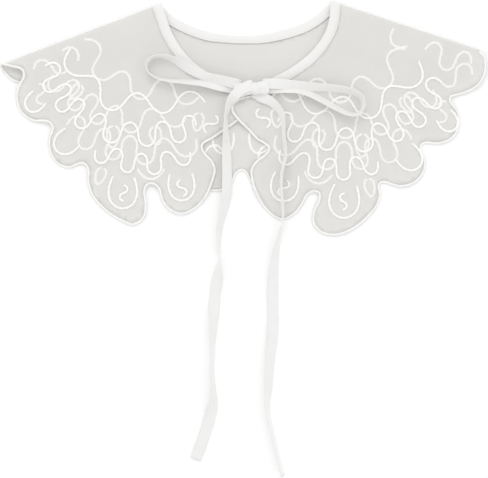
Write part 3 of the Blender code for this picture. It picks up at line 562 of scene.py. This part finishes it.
def build_panels():
    """The cloth's folds and its three flat panels: the left front, the back and the right front."""
    left_fold = Fold(LEFT_FOLD, LEFT_TIP_REACH)
    right_fold = Fold(RIGHT_FOLD, RIGHT_TIP_REACH)
    left_half = [(CENTRE_BACK - out, down) for out, down in BACK_HALF_HEM]
    right_half = [(CENTRE_BACK + out, down) for out, down in BACK_HALF_HEM]
    back_rows = BACK_LEFT_END + left_half[::-1] + BACK_CENTRE_NOTCH + right_half + BACK_RIGHT_END
    back_neck = outline_curve(BACK_NECK, left_fold, right_fold)
    back_hem = outline_curve(back_rows, left_fold, right_fold, inset=-EDGING_INSET)
    back_shape = flat_array(back_neck + back_hem[::-1])
    left_neck = outline_curve(LEFT_NECK, start_fold=left_fold)
    left_hem = outline_curve(LEFT_HEM, end_fold=left_fold, inset=EDGING_INSET)
    left_shape = flat_array(left_neck + left_hem[1:])
    right_neck = outline_curve(RIGHT_NECK, start_fold=right_fold)
    right_hem = outline_curve(RIGHT_HEM, end_fold=right_fold, inset=-EDGING_INSET)
    knot_place = laid([KNOT_CENTRE])[0]

    def creased(points):
        """The soft creases' part of the height."""
        total = np.zeros(len(points))
        for start, end, half_width, height in CREASES:
            a, b = flat_array(laid([start, end]))
            share = np.clip((points - a) @ (b - a) / ((b - a) @ (b - a)), 0.0, 1.0)
            off = np.linalg.norm(points - a - share[:, None] * (b - a), axis=1)
            fullness = CREASE_END_SHARE + (1 - CREASE_END_SHARE) * np.sin(math.pi * share)
            total += height * (1 - smooth(off / half_width)) * fullness
        return total

    def front_height(points, fold):
        """The height of a front: on the back, down to the table past its hem, and up to the fold."""
        spoke = points - np.array(fold.neck)
        depth = spoke @ np.array(fold.inwards)
        on_table = smooth((outside_by(points, back_shape) - TABLE_FALL_START) / TABLE_FALL)
        low = FRONT_HEIGHT + (FRONT_ON_TABLE - FRONT_HEIGHT) * on_table
        top = BACK_HEIGHT + 2 * FOLD_RADIUS
        rise = (top - low) * (1 - smooth((depth - FOLD_RADIUS) / FOLD_FALL))
        angle = np.degrees(np.arctan2(spoke[:, 1], np.abs(spoke[:, 0])))
        wave = 0.5 - 0.5 * np.cos(2 * math.pi * angle / RIPPLE_DEGREES)
        from_knot = np.hypot(points[:, 0] - knot_place[0], points[:, 1] - knot_place[1])
        reach = smooth((depth - RIPPLE_START) / RIPPLE_FADE)
        reach *= smooth((from_knot - KNOT_CALM) / RIPPLE_FADE)
        crease = creased(points) * smooth((depth - CREASE_START) / CREASE_FADE)
        crease = np.where(crease < 0, crease * (1 - on_table), crease)
        return low + rise + RIPPLE_HEIGHT * wave * reach + crease

    def left_height(points):
        return front_height(points, left_fold)

    def right_height(points):
        over_left = 1 - smooth((outside_by(points, left_shape) - OVERLAP_START) / OVERLAP_FALL)
        return front_height(points, right_fold) + OVERLAP_LIFT * over_left

    left = Panel(left_neck, left_hem, left_height)
    back = Panel(back_neck, back_hem, level(BACK_HEIGHT))
    right = Panel(right_neck, right_hem, right_height)
    return (left, back, right), (left_fold, right_fold)


def fold_line(start, end):
    """Points from one place on a fold's line to another."""
    return [start.lerp(end, k / BEND_COLUMNS) for k in range(BEND_COLUMNS + 1)]


def triangulated(outline):
    """(points, triangles) of the flat cloth inside an outline, with a hexagonal grid of inner points."""
    ring = flat_array(outline)
    low, high = ring.min(axis=0), ring.max(axis=0)
    row_height = CLOTH_GRID * math.sqrt(3) / 2
    grid = []
    for row in range(1, int((high[1] - low[1]) / row_height) + 1):
        for column in range(int((high[0] - low[0]) / CLOTH_GRID) + 2):
            grid.append((low[0] + (column + 0.5 * (row % 2)) * CLOTH_GRID, low[1] + row * row_height))
    grid = np.array(grid)
    grid = grid[inside(grid, ring)]
    grid = grid[near_outline(grid, ring) > 0.5 * CLOTH_GRID]
    points = list(outline) + [Vector(p) for p in grid]
    made = delaunay_2d_cdt(points, [], [list(range(len(outline)))], 1, 1e-6)
    return made[0], made[2]


def merged(solids):
    """One (points, faces, uvs) from several."""
    points = []
    faces = []
    uvs = []
    for new_points, new_faces, new_uvs in solids:
        base = len(points)
        points += new_points
        faces += [[base + i for i in face] for face in new_faces]
        uvs += new_uvs
    return points, faces, uvs


def linked(name, data):
    made = bpy.data.objects.new(name, data)
    bpy.context.scene.collection.objects.link(made)
    return made


def new_object(name, solid, look):
    """An object from (points in millimetres, faces, uvs), its faces turned one way and shaded smooth."""
    points, faces, uvs = solid
    mesh = bpy.data.meshes.new(name)
    mesh.from_pydata([p * MM for p in points], [], faces)
    if uvs:
        layer = mesh.uv_layers.new(name="along_and_round")
        for loop in mesh.loops:
            layer.data[loop.index].uv = uvs[loop.vertex_index]
    shape = bmesh.new()
    shape.from_mesh(mesh)
    bmesh.ops.remove_doubles(shape, verts=shape.verts, dist=0.01 * MM)
    bmesh.ops.recalc_face_normals(shape, faces=shape.faces)
    shape.to_mesh(mesh)
    shape.free()
    mesh.shade_smooth()
    mesh.materials.append(look)
    return linked(name, mesh)


def folded_cloth(panels, folds, look):
    """The whole cut as one thin shell: the back, both bends and both fronts."""
    left, back, right = panels
    left_back_line = fold_line(back.neck[0], back.hem[0])
    right_back_line = fold_line(back.neck[-1], back.hem[-1])
    back_outline = back.neck + right_back_line[1:-1] + back.hem[::-1] + left_back_line[-2:0:-1]
    flat, triangles = triangulated(back_outline)
    parts = [(back.lift(flat), triangles, [])]
    for panel, fold, back_line in ((left, folds[0], left_back_line), (right, folds[1], right_back_line)):
        line = fold_line(panel.neck[0], panel.hem[-1])
        flat, triangles = triangulated(panel.neck + panel.hem[1:] + line[-2:0:-1])
        parts.append((panel.lift(flat), triangles, []))
        grid = []
        for k in range(BEND_COLUMNS + 1):
            reaches = fold.reach(back_line[k]), fold.reach(line[k])
            shares = [j / BEND_STEPS for j in range(BEND_STEPS + 1)]
            grid += [fold.bend(*reaches, share, k / BEND_COLUMNS)[0] for share in shares]
        strip = []
        for k in range(BEND_COLUMNS):
            for j in range(BEND_STEPS):
                a = k * (BEND_STEPS + 1) + j
                strip.append((a, a + 1, a + BEND_STEPS + 2, a + BEND_STEPS + 1))
        parts.append((grid, strip, []))
    made = new_object("organza_cloth", merged(parts), look)
    shell = made.modifiers.new("shell", "SOLIDIFY")
    shell.thickness = ORGANZA * MM
    shell.offset = 0.0
    return made


def cloth_edge(panels, folds, edge):
    """(place, normal) along the cloth's whole neck edge or hem, from the left front to the right front."""
    left, back, right = panels
    if edge == "neck":
        left_edge, back_edge, right_edge, end_share = left.neck[::-1], back.neck, right.neck, 0.0
    else:
        left_edge, back_edge, right_edge, end_share = left.hem, back.hem, right.hem[::-1], 1.0
    steps = [j / BEND_STEPS for j in range(1, BEND_STEPS)]
    bends = []
    for fold, back_end, panel_end in (
        (folds[0], back_edge[0], left_edge[-1]),
        (folds[1], back_edge[-1], right_edge[0]),
    ):
        reaches = fold.reach(back_end), fold.reach(panel_end)
        bends.append([fold.bend(*reaches, share, end_share) for share in steps])
    stretches = [
        left.frames(left_edge, up=True),
        bends[0][::-1],
        back.frames(back_edge, up=False),
        bends[1],
        right.frames(right_edge, up=True),
    ]
    return [frame for stretch in stretches for frame in stretch]


def outward_frames(frames, hand):
    """(place, direction away from the cloth, outward normal) along an edge of the cloth."""
    rows = zip(frames, headings([place for place, _ in frames]))
    return [(place, ahead.cross(normal).normalized() * hand, normal) for (place, normal), ahead in rows]


def swept(sections, closed=False):
    """(points, faces, uvs) of a solid through sections; uvs hold millimetres along and shares round."""
    count = len(sections[0])
    points = [p for section in sections for p in section]
    faces = [] if closed else [tuple(range(count))[::-1]]
    last = len(sections) if closed else len(sections) - 1
    for k in range(last):
        here = k * count
        there = (k + 1) % len(sections) * count
        for side in range(count):
            after = (side + 1) % count
            faces.append((here + side, here + after, there + after, there + side))
    if not closed:
        faces.append(tuple(range(len(points) - count, len(points))))
    uvs = []
    reach = 0.0
    middles = [sum(section, Vector((0, 0, 0))) / count for section in sections]
    for k, middle in enumerate(middles):
        reach += (middle - middles[max(k - 1, 0)]).length
        uvs += [(reach, side / count) for side in range(count)]
    return points, faces, uvs


def surface_tree(objects):
    """A search tree over the finished faces of some objects, in millimetres."""
    bpy.context.view_layer.update()
    graph = bpy.context.evaluated_depsgraph_get()
    solids = []
    for made in objects:
        mesh = made.evaluated_get(graph).to_mesh()
        points = [made.matrix_world @ v.co / MM for v in mesh.vertices]
        solids.append((points, [list(face.vertices) for face in mesh.polygons], []))
    return BVHTree.FromPolygons(*merged(solids)[:2])


def height_under(tree, place):
    """The highest surface under a place, or the table."""
    hit = tree.ray_cast(Vector((place.x, place.y, PROBE_FROM)), Vector((0, 0, -1)))[0]
    return hit.z if hit else 0.0


# Materials

def shader_of(name, colour, roughness, sheen=0.0, alpha=1.0):
    """A new material's node tree and its shader, with the values that are the same all over."""
    made = bpy.data.materials.new(name)
    made.use_nodes = True
    tree = made.node_tree
    shader = tree.nodes["Principled BSDF"]
    shader.inputs["Base Color"].default_value = (*colour, 1)
    shader.inputs["Roughness"].default_value = roughness
    shader.inputs["Sheen Weight"].default_value = sheen
    shader.inputs["Alpha"].default_value = alpha
    return made, tree, shader


def node_of(tree, kind, **values):
    """A new node, with each named input set to a value or linked to another node's output."""
    node = tree.nodes.new("ShaderNode" + kind)
    for name, value in values.items():
        if isinstance(value, bpy.types.NodeSocket):
            tree.links.new(value, node.inputs[name])
        else:
            node.inputs[name].default_value = value
    return node


def bump(tree, shader, height, strength, distance):
    node = node_of(tree, "Bump", Strength=strength, Distance=distance, Height=height)
    tree.links.new(node.outputs["Normal"], shader.inputs["Normal"])


def tinted(tree, shader, amount, dark, light):
    """Colours the shader between two colours by a value from 0 to 1."""
    ramp = node_of(tree, "ValToRGB", Fac=amount)
    ramp.color_ramp.elements[0].color = (*dark, 1)
    ramp.color_ramp.elements[1].color = (*light, 1)
    tree.links.new(ramp.outputs["Color"], shader.inputs["Base Color"])


def math_node(tree, kind, a, b):
    node = node_of(tree, "Math")
    node.operation = kind
    for socket, value in zip(node.inputs, (a, b)):
        if isinstance(value, (int, float)):
            socket.default_value = value
        else:
            tree.links.new(value, socket)
    return node.outputs[0]


def noise(tree, vector, scale):
    return node_of(tree, "TexNoise", Scale=scale, Detail=2.0, Vector=vector).outputs["Fac"]


def weave_of(tree, vector, pitch, kind):
    """Even threads both ways, joined by a kind of sum, as a value from 0 to 1."""
    threads = []
    scale = math.pi / (10 * pitch * MM)
    for direction in "XY":
        node = node_of(tree, "TexWave", Scale=scale, Distortion=0.25, Detail=1.0, Vector=vector)
        node.wave_type = "BANDS"
        node.bands_direction = direction
        node.wave_profile = "SIN"
        threads.append(node.outputs["Fac"])
    return math_node(tree, kind, *threads)


def mixed(tree, first, second, share):
    """Two values added up, the second with its share of the whole."""
    rest = math_node(tree, "MULTIPLY", first, 1 - share)
    part = math_node(tree, "MULTIPLY", second, share)
    return math_node(tree, "ADD", rest, part)


def organza_material():
    """Sheer plain weave: fine threads both ways, with a faint cloudiness where they crowd."""
    made, tree, shader = shader_of("organza", (0.854, 0.846, 0.824), 0.6, sheen=0.1, alpha=0.7)
    place = node_of(tree, "TexCoord").outputs["Object"]
    weave = weave_of(tree, place, WEAVE_PITCH, "MAXIMUM")
    cloud = noise(tree, place, 38.0)
    tinted(tree, shader, mixed(tree, weave, cloud, 0.65), (0.829, 0.821, 0.799), (0.878, 0.87, 0.848))
    bump(tree, shader, weave, 0.25, 0.06 * MM)
    return made


def tape_material():
    """Soft woven bias tape: threads at 45 degrees and a slight unevenness."""
    made, tree, shader = shader_of("satin_binding", (0.84, 0.835, 0.822), 0.5, sheen=0.9)
    place = node_of(tree, "TexCoord").outputs["Object"]
    turned = node_of(tree, "Mapping", Rotation=(0, 0, math.radians(45)), Vector=place)
    weave = weave_of(tree, turned.outputs["Vector"], TAPE_WEAVE_PITCH, "MULTIPLY")
    cloud = noise(tree, place, 90.0)
    tinted(tree, shader, mixed(tree, weave, cloud, 0.7), (0.808, 0.803, 0.79), (0.872, 0.867, 0.854))
    height = math_node(tree, "ADD", weave, math_node(tree, "MULTIPLY", cloud, 1.5))
    bump(tree, shader, height, 0.35, 0.10 * MM)
    return made


def thread_material(name, pitch, slant, dark, light, roughness):
    """Thread or satin stitches laid across a piece, slanted by a share of its way round."""
    made, tree, shader = shader_of(name, light, roughness, sheen=0.2)
    uv = node_of(tree, "UVMap")
    uv.uv_map = "along_and_round"
    split = node_of(tree, "SeparateXYZ", Vector=uv.outputs["UV"])
    slanted = math_node(tree, "MULTIPLY", split.outputs["Y"], slant)
    along = math_node(tree, "ADD", math_node(tree, "DIVIDE", split.outputs["X"], pitch), slanted)
    wave = math_node(tree, "SINE", math_node(tree, "MULTIPLY", along, 2 * math.pi), 0.0)
    lifted = math_node(tree, "ADD", math_node(tree, "MULTIPLY", wave, 0.5), 0.5)
    tinted(tree, shader, lifted, dark, light)
    bump(tree, shader, lifted, 0.5, 0.12 * MM)
    return made


def floor_material():
    made, tree, shader = shader_of("pale_floor", (0.975, 0.975, 0.975), 0.9)
    place = node_of(tree, "TexCoord").outputs["Object"]
    tinted(tree, shader, noise(tree, place, 3.0), (0.97, 0.97, 0.97), (0.98, 0.98, 0.98))
    return made


# Pieces

def ring_round(centre, across, up, sides):
    """Corners evenly round a centre, from the ring's half widths as vectors."""
    return [centre + across * math.cos(turn) + up * math.sin(turn) for turn in turns(sides)]


def table_rise(section, clearance):
    """How far up a section has to move to clear the table, as a vector."""
    return Vector((0, 0, max(0.0, clearance - min(corner.z for corner in section))))


def above_table(section, clearance):
    rise = table_rise(section, clearance)
    return [corner + rise for corner in section]


def binding_section(frame):
    """The folded tape on the neck edge: a rounded outer fold, a stitched valley and a thin inner lip."""
    place, away, normal = frame
    on_back = max(0.0, -normal.z)
    at_middle = 1 - float(smooth(abs(place.x - CENTRE_BACK) / BINDING_ROLL_REACH))
    width = 1 - on_back * (BACK_BINDING_LESS + MIDDLE_BINDING_LESS * at_middle)
    corners = BINDING_PROFILE + [(out, -up) for out, up in reversed(BINDING_PROFILE)]
    section = [place + away * out * width + normal * up for out, up in corners]
    return above_table(section, BINDING_CLEARANCE)


def edging_section(frame, k):
    """The satin-stitched edge of the hem: a small round rope over the cloth's cut edge."""
    place, away, normal = frame
    swell = 1 + waves(EDGING_SWELLS, k)
    centre = place + away * (EDGING_WIDTH / 2 - EDGE_THREAD / 2)
    across = away * EDGING_WIDTH / 2 * swell
    ring = ring_round(centre, across, normal * EDGING_HALF_HEIGHT * swell, EDGING_SIDES)
    return above_table(ring, EDGING_CLEARANCE)


def painted_shade_lock_section(frame):
    """The thin lock thread that runs along the outside of the stitched edge, its greyer colour painted
    shade where the edge's outer rim curves away.
    """
    place, away, normal = frame
    centre = place + away * EDGE_THREAD_AT
    ring = ring_round(centre, away * EDGE_THREAD / 2, normal * EDGE_THREAD / 2, THREAD_SIDES)
    return above_table(ring, EDGING_CLEARANCE)


def stitch_row(name, frames, look):
    """The binding's stitches, as short threads that dip into the tape at their ends."""
    chain = [place + away * STITCH_OUT + normal * STITCH_UP for place, away, normal in frames]
    normals = [normal for _, _, normal in frames]
    lengths = chain_lengths(chain)

    def at(reach):
        k = int(np.searchsorted(lengths, reach, side="right")) - 1
        k = min(max(k, 0), len(chain) - 2)
        share = (reach - lengths[k]) / max(lengths[k + 1] - lengths[k], 1e-9)
        return chain[k].lerp(chain[k + 1], share), normals[k].lerp(normals[k + 1], share).normalized()

    stitches = []
    start = STITCH_PITCH
    while start + STITCH_LENGTH < lengths[-1]:
        sections = []
        for share, lift in STITCH_ARC:
            place, normal = at(start + STITCH_LENGTH * share)
            ahead = (at(start + STITCH_LENGTH * share + STITCH_AHEAD)[0] - place).normalized()
            across = ahead.cross(normal).normalized() * STITCH_WIDTH / 2
            up = normal * STITCH_FLATNESS * STITCH_WIDTH / 2
            ring = ring_round(place + normal * lift, across, up, THREAD_SIDES)
            sections.append(above_table(ring, STITCH_CLEARANCE))
        stitches.append(swept(sections))
        start += STITCH_PITCH
    points, faces, _ = merged(stitches)
    return new_object(name, (points, faces, []), look)


def meander(halves, swing, lesser_swing):
    """A wandering line from (0, 0) to (1, 0), whose heading swings to and fro along its length."""
    place = Vector((0, 0))
    path = [place]
    for k in range(halves * MEANDER_STEPS):
        share = (k + 0.5) / MEANDER_STEPS
        heading = swing * math.cos(math.pi * share)
        heading += lesser_swing * math.sin(2 * math.pi * share / LESSER_SWING_HALVES)
        place = place + towards(heading)
        path.append(place)
    end = path[-1]
    return [Vector((p.dot(end), end.x * p.y - end.y * p.x)) / end.length_squared for p in path]


def along_line(points, path, hand):
    """A path from (0, 0) to (1, 0), laid along the smooth line through the points."""
    chain = spline(points)
    lengths = chain_lengths(chain)
    made = []
    k = 0
    for p in path:
        reach = p.x * lengths[-1]
        while k < len(chain) - 2 and lengths[k + 1] < reach:
            k += 1
        while k > 0 and lengths[k] > reach:
            k -= 1
        ahead = (chain[k + 1] - chain[k]).normalized()
        aside = ahead.orthogonal() * hand
        made.append(chain[k] + ahead * (reach - lengths[k]) + aside * p.y * lengths[-1])
    return made


def turned_over(points):
    """Places on the left front moved onto the right front, which is turned over and a little larger."""
    left_neck, right_neck = laid([LEFT_FOLD[0], RIGHT_FOLD[0]])
    along = towards(TURNED_DEGREES) * TURNED_STRETCH
    aside = along.orthogonal()
    return [right_neck + along * (left_neck.x - p.x) + aside * (p.y - left_neck.y) for p in points]


def loop_route(across, down, length, width, turn):
    """A closed pear-shaped loop round a place in the tables, starting at its wide end."""
    centre = laid([(across, down)])[0]
    along = towards(turn)
    aside = along.orthogonal()
    route = []
    for angle in [*turns(LOOP_STEPS), 2 * math.pi]:
        half_width = width / 2 * (1 - LOOP_NARROWING * (1 - math.cos(angle)))
        route.append(centre + along * length / 2 * math.cos(angle) + aside * half_width * math.sin(angle))
    return route


def front_route(row, turned):
    """The route of a table's run of cord on the left front, or turned over onto the right front."""
    *swings, hand, places = row
    path = meander(*swings)
    if turned:
        return along_line(turned_over(laid(places)), path, -hand)
    return along_line(laid(places), path, hand)


def cord_sections(route, heights_of, width, height, low=0.0):
    """Sections of a two-ply cord on a surface, or lower, with the twist showing in its outline."""
    places = spaced(route, CORD_STEP)
    bases = heights_of(flat_array(places)) + low
    sections = []
    for k, (place, ahead) in enumerate(zip(places, headings(places))):
        side = ahead.orthogonal().to_3d()
        base = float(bases[max(k - 1, 0) : k + 2].mean())
        end = min(k, len(places) - 1 - k)
        fullness = CORD_END_SHARE + (1 - CORD_END_SHARE) * min(1.0, end / 2)
        section = []
        for turn in turns(CORD_SIDES):
            ply = 1 + PLY_DEPTH * math.cos(2 * turn - PLY_TWIST * k)
            across = math.cos(turn) * width / 2 * ply * fullness
            up = (0.5 + 0.5 * math.sin(turn)) * height * (0.5 + 0.5 * ply) * fullness
            section.append(Vector((place.x, place.y, base + up)) + side * across)
        sections.append(section)
    return sections


def cord_object(name, routes, look, *surface):
    """One object from the cords along some routes, on the surface and with the sizes that follow."""
    solids = [swept(cord_sections(route, *surface)) for route in routes]
    return new_object(name, merged(solids), look)


def tape_stations(rows):
    """Even stations along a stretch of tape, as (place on the table, lift, tilt in radians)."""
    rows = [Vector((across, MIDDLE_DOWN - down, lift, tilt / 10)) for across, down, lift, tilt in rows]
    return [(p.to_2d(), p.z, math.radians(p.w * 10)) for p in spaced(spline(rows), TAPE_STEP)]


def tape(name, rows, hand, tree, look):
    """(object, ring centres) of a stretch of the tie: a soft folded tape that tilts and turns over."""
    stations = tape_stations(rows)
    frames = []
    supports = []
    for (place, _, tilt), ahead in zip(stations, headings([station[0] for station in stations])):
        aside = ahead.orthogonal() * hand
        across = Vector((aside.x * math.cos(tilt), aside.y * math.cos(tilt), math.sin(tilt)))
        frames.append((across, across.cross(ahead.to_3d()).normalized()))
        probes = [place + across.to_2d() * TAPE_WIDTH * share for share in PROBE_SHARES]
        supports.append(max(height_under(tree, p + ahead * step) for p in probes for step in PROBE_STEPS))
    windows = [slice(max(k - EASE_STATIONS, 0), k + EASE_STATIONS + 1) for k in range(len(stations))]
    highest = [max(supports[window]) for window in windows]
    eased = [float(np.mean(highest[window])) for window in windows]
    outline = TAPE_PROFILE + [(x, -y) for x, y in reversed(TAPE_PROFILE[1:-1])]
    sections = []
    centres = []
    for k, ((place, lift, tilt), (across, face), under) in enumerate(zip(stations, frames, eased)):
        tall = abs(math.sin(tilt)) * TAPE_WIDTH / 2 + abs(math.cos(tilt)) * TAPE_THICK / 2
        middle = Vector((place.x, place.y, under + lift + tall))
        cupped = waves(TAPE_CUPS, k)
        section = []
        for x, y in outline:
            offset = across * x * TAPE_WIDTH / 2 + face * (y * TAPE_THICK + cupped * (1 - x * x) * 0.5)
            section.append(middle + offset)
        rise = table_rise(section, TAPE_CLEARANCE)
        sections.append([corner + rise for corner in section])
        centres.append((middle + rise) * MM)
    return new_object(name, swept(sections), look), centres


def knot_pieces(look):
    """The knot's gathered body and the turn of tape round it, in the place of the solid knot."""
    centre = laid([KNOT_CENTRE])[0]
    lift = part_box("tie_knot")[0].z / MM + KNOT_RISE
    along = towards(KNOT_TURN_DEGREES).to_3d()
    aside = towards(KNOT_TURN_DEGREES + 90).to_3d()
    up = Vector((0, 0, 1))
    middle = Vector((centre.x, centre.y, lift))
    half_length = KNOT_PROFILE[-1][0]
    sections = []
    for reach, half_width, half_height in spline([Vector(row) for row in KNOT_PROFILE]):
        ring = []
        for angle in turns(KNOT_SIDES):
            pleat = sum(share * math.cos(n * angle + drift * reach) for n, share, drift in KNOT_PLEATS)
            swell = pleat * KNOT_PLEAT_DEPTH * min(1.0, (half_length - abs(reach)) / KNOT_PLEAT_FADE)
            across = aside * (half_width + swell) * math.cos(angle)
            rise = up * (half_height + KNOT_PLEAT_RISE * swell) * math.sin(angle)
            ring.append(middle + along * reach + across + rise)
        sections.append(ring)
    body = new_object("tie_knot_body", swept(sections), look)

    sections = []
    for angle in turns(WRAP_STEPS):
        out = aside * math.cos(angle) + up * math.sin(angle)
        ring = aside * math.cos(angle) * WRAP_REACH[0] + up * math.sin(angle) * WRAP_REACH[1]
        lean = WRAP_AT - WRAP_SLANT * math.cos(angle) * max(0.0, math.sin(angle) + WRAP_SLANT_FROM)
        half_width = WRAP_WIDTH / 2 * (1 - WRAP_PINCH * math.cos(2 * angle))
        base = middle + ring
        sections.append([base + along * (lean + x * half_width) + out * y for x, y in WRAP_PROFILE])
    return body, new_object("tie_knot_wrap", swept(sections, closed=True), look)


def placed(piece, slot, *nodes):
    """The piece, on the collar's one body and in place of the solids that it stands for; its slot is not
    used.
    """
    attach(piece, "root")
    if nodes:
        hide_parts(*nodes)
    return piece


def lights_and_floor():
    world = bpy.data.worlds.new("studio")
    world.use_nodes = True
    sky = world.node_tree.nodes["Background"]
    sky.inputs["Color"].default_value = (1, 1, 1, 1)
    sky.inputs["Strength"].default_value = SKY_STRENGTH
    bpy.context.scene.world = world
    for name, place, size, energy in LIGHTS:
        data = bpy.data.lights.new(name, "AREA")
        data.shape = "DISK"
        data.size = size
        data.energy = energy
        made = linked(name, data)
        made.location = place
        made.rotation_euler = (Vector(LIGHTS_AIM) - Vector(place)).to_track_quat("-Z", "Y").to_euler()
    mesh = bpy.data.meshes.new("floor")
    corners = [(x * FLOOR_HALF, y * FLOOR_HALF, 0) for x, y in ((-1, -1), (1, -1), (1, 1), (-1, 1))]
    mesh.from_pydata(corners, [], [(0, 1, 2, 3)])
    mesh.materials.append(floor_material())
    floor = linked("floor", mesh)
    floor.location.z = -FLOOR_DROP


def camera():
    data = bpy.data.cameras.new("camera")
    data.lens = LENS
    data.sensor_width = SENSOR
    data.sensor_fit = "HORIZONTAL"
    data.clip_end = 20
    made = linked("camera", data)
    across, down = PICTURE_MIDDLE
    away = PICTURE_WIDE * LENS / SENSOR
    made.location = (across * MM, (MIDDLE_DOWN - down) * MM, (away + FRONT_HEIGHT) * MM)
    bpy.context.scene.camera = made


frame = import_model()
bpy.context.scene.view_settings.view_transform = "Standard"
bpy.context.scene.cycles.diffuse_bounces = 8
bpy.context.scene.cycles.transparent_max_bounces = 24
camera()
lights_and_floor()

organza = organza_material()
satin = tape_material()
cord_thread = thread_material("cord_thread", 1.6, 1.0, (0.905, 0.90, 0.88), (0.965, 0.96, 0.94), 0.45)
tonal_thread = thread_material("tonal_thread", 1.6, 1.0, (0.83, 0.825, 0.81), (0.895, 0.89, 0.873), 0.5)
edge_thread = thread_material("edge_thread", 0.55, 0.0, (0.905, 0.90, 0.884), (0.97, 0.965, 0.95), 0.45)
# The lock thread's greyer colours are painted shade on the outer rim of the stitched hem edge.
painted_shade_lock_thread = thread_material("painted_shade_lock_thread", 0.8, 0.0, (0.83, 0.825, 0.815), (0.905, 0.90, 0.89), 0.5)
stitch_thread = thread_material("stitch_thread", 0.8, 0.0, (0.70, 0.695, 0.68), (0.79, 0.785, 0.77), 0.5)

panels, folds = build_panels()
cloth = placed(folded_cloth(panels, folds, organza), "organza", "collar_cloth")

neck_frames = outward_frames(cloth_edge(panels, folds, "neck"), 1)
hem_frames = outward_frames(cloth_edge(panels, folds, "hem"), -1)
binding = new_object("neck_bias_binding", swept([binding_section(f) for f in neck_frames]), satin)
placed(binding, "satin_binding", "neck_binding")
placed(stitch_row("binding_stitches", neck_frames, stitch_thread), "white_thread")

edging_sections = [edging_section(f, k) for k, f in enumerate(hem_frames[1:-1])]
edging = new_object("hem_satin_edge", swept(edging_sections), edge_thread)
placed(edging, "white_thread", "hem_edging")
# A thin greyer thread round the outside of the hem edge: painted shade on the edge's outer rim.
painted_shade_lock_sections = [painted_shade_lock_section(f) for f in hem_frames[1:-1]]
placed(new_object("hem_painted_shade_lock_thread", swept(painted_shade_lock_sections), painted_shade_lock_thread), "white_thread")

laid_parts = [cloth, binding, edging]
fronts = (("left", panels[0]), ("right", panels[2]))
for side, panel in fronts:
    routes = [front_route(row[1:], side == "right") for row in CORD_RUNS]
    cords = cord_object(f"couched_cord_{side}", routes, cord_thread, panel.height, CORD_WIDTH, CORD_HEIGHT)
    laid_parts.append(placed(cords, "white_thread", *[f"cord_{side}_{run[0]}" for run in CORD_RUNS]))

for side, panel in fronts:
    routes = [front_route(row, side == "right") for row in TONAL_RUNS]
    routes += [front_route(row, False) for row in TIP_RUNS[side]]
    for row in TONAL_LOOPS:
        route = loop_route(*row)
        routes.append(turned_over(route) if side == "right" else route)
    sunk = (panel.height, TONAL_WIDTH, TONAL_HEIGHT, TONAL_LOW)
    placed(cord_object(f"tonal_cord_{side}", routes, tonal_thread, *sunk), "white_thread")

routes = []
for *swings, hand, rows in BACK_RUNS:
    for mirror in (-1, 1):
        points = laid([(CENTRE_BACK + mirror * out, down) for out, down in rows])
        routes.append(along_line(points, meander(*swings), hand * mirror))
under_back = (level(BACK_CORD_LOW), CORD_WIDTH, BACK_CORD_HEIGHT)
placed(cord_object("couched_cord_back", routes, cord_thread, *under_back), "white_thread")

body, wrap = knot_pieces(satin)
placed(body, "satin_binding", "tie_knot")
placed(wrap, "satin_binding")
on_collar = surface_tree(laid_parts)
over_knot = surface_tree([*laid_parts, body])
for name, rows, hand, tree, node, far_end in (
    ("loop_tape_left", LEFT_LOOP, 1, on_collar, "bow_loop_left", "object"),
    ("loop_tape_right", RIGHT_LOOP, -1, on_collar, "bow_loop_right", "object"),
    ("tail_tape_left", LEFT_TAIL, -1, over_knot, "tie_tail_left", "bare"),
    ("tail_tape_right", RIGHT_TAIL, -1, on_collar, "tie_tail_right", "bare"),
):
    piece, centres = tape(name, rows, hand, tree, satin)
    placed(piece, "satin_binding", node)
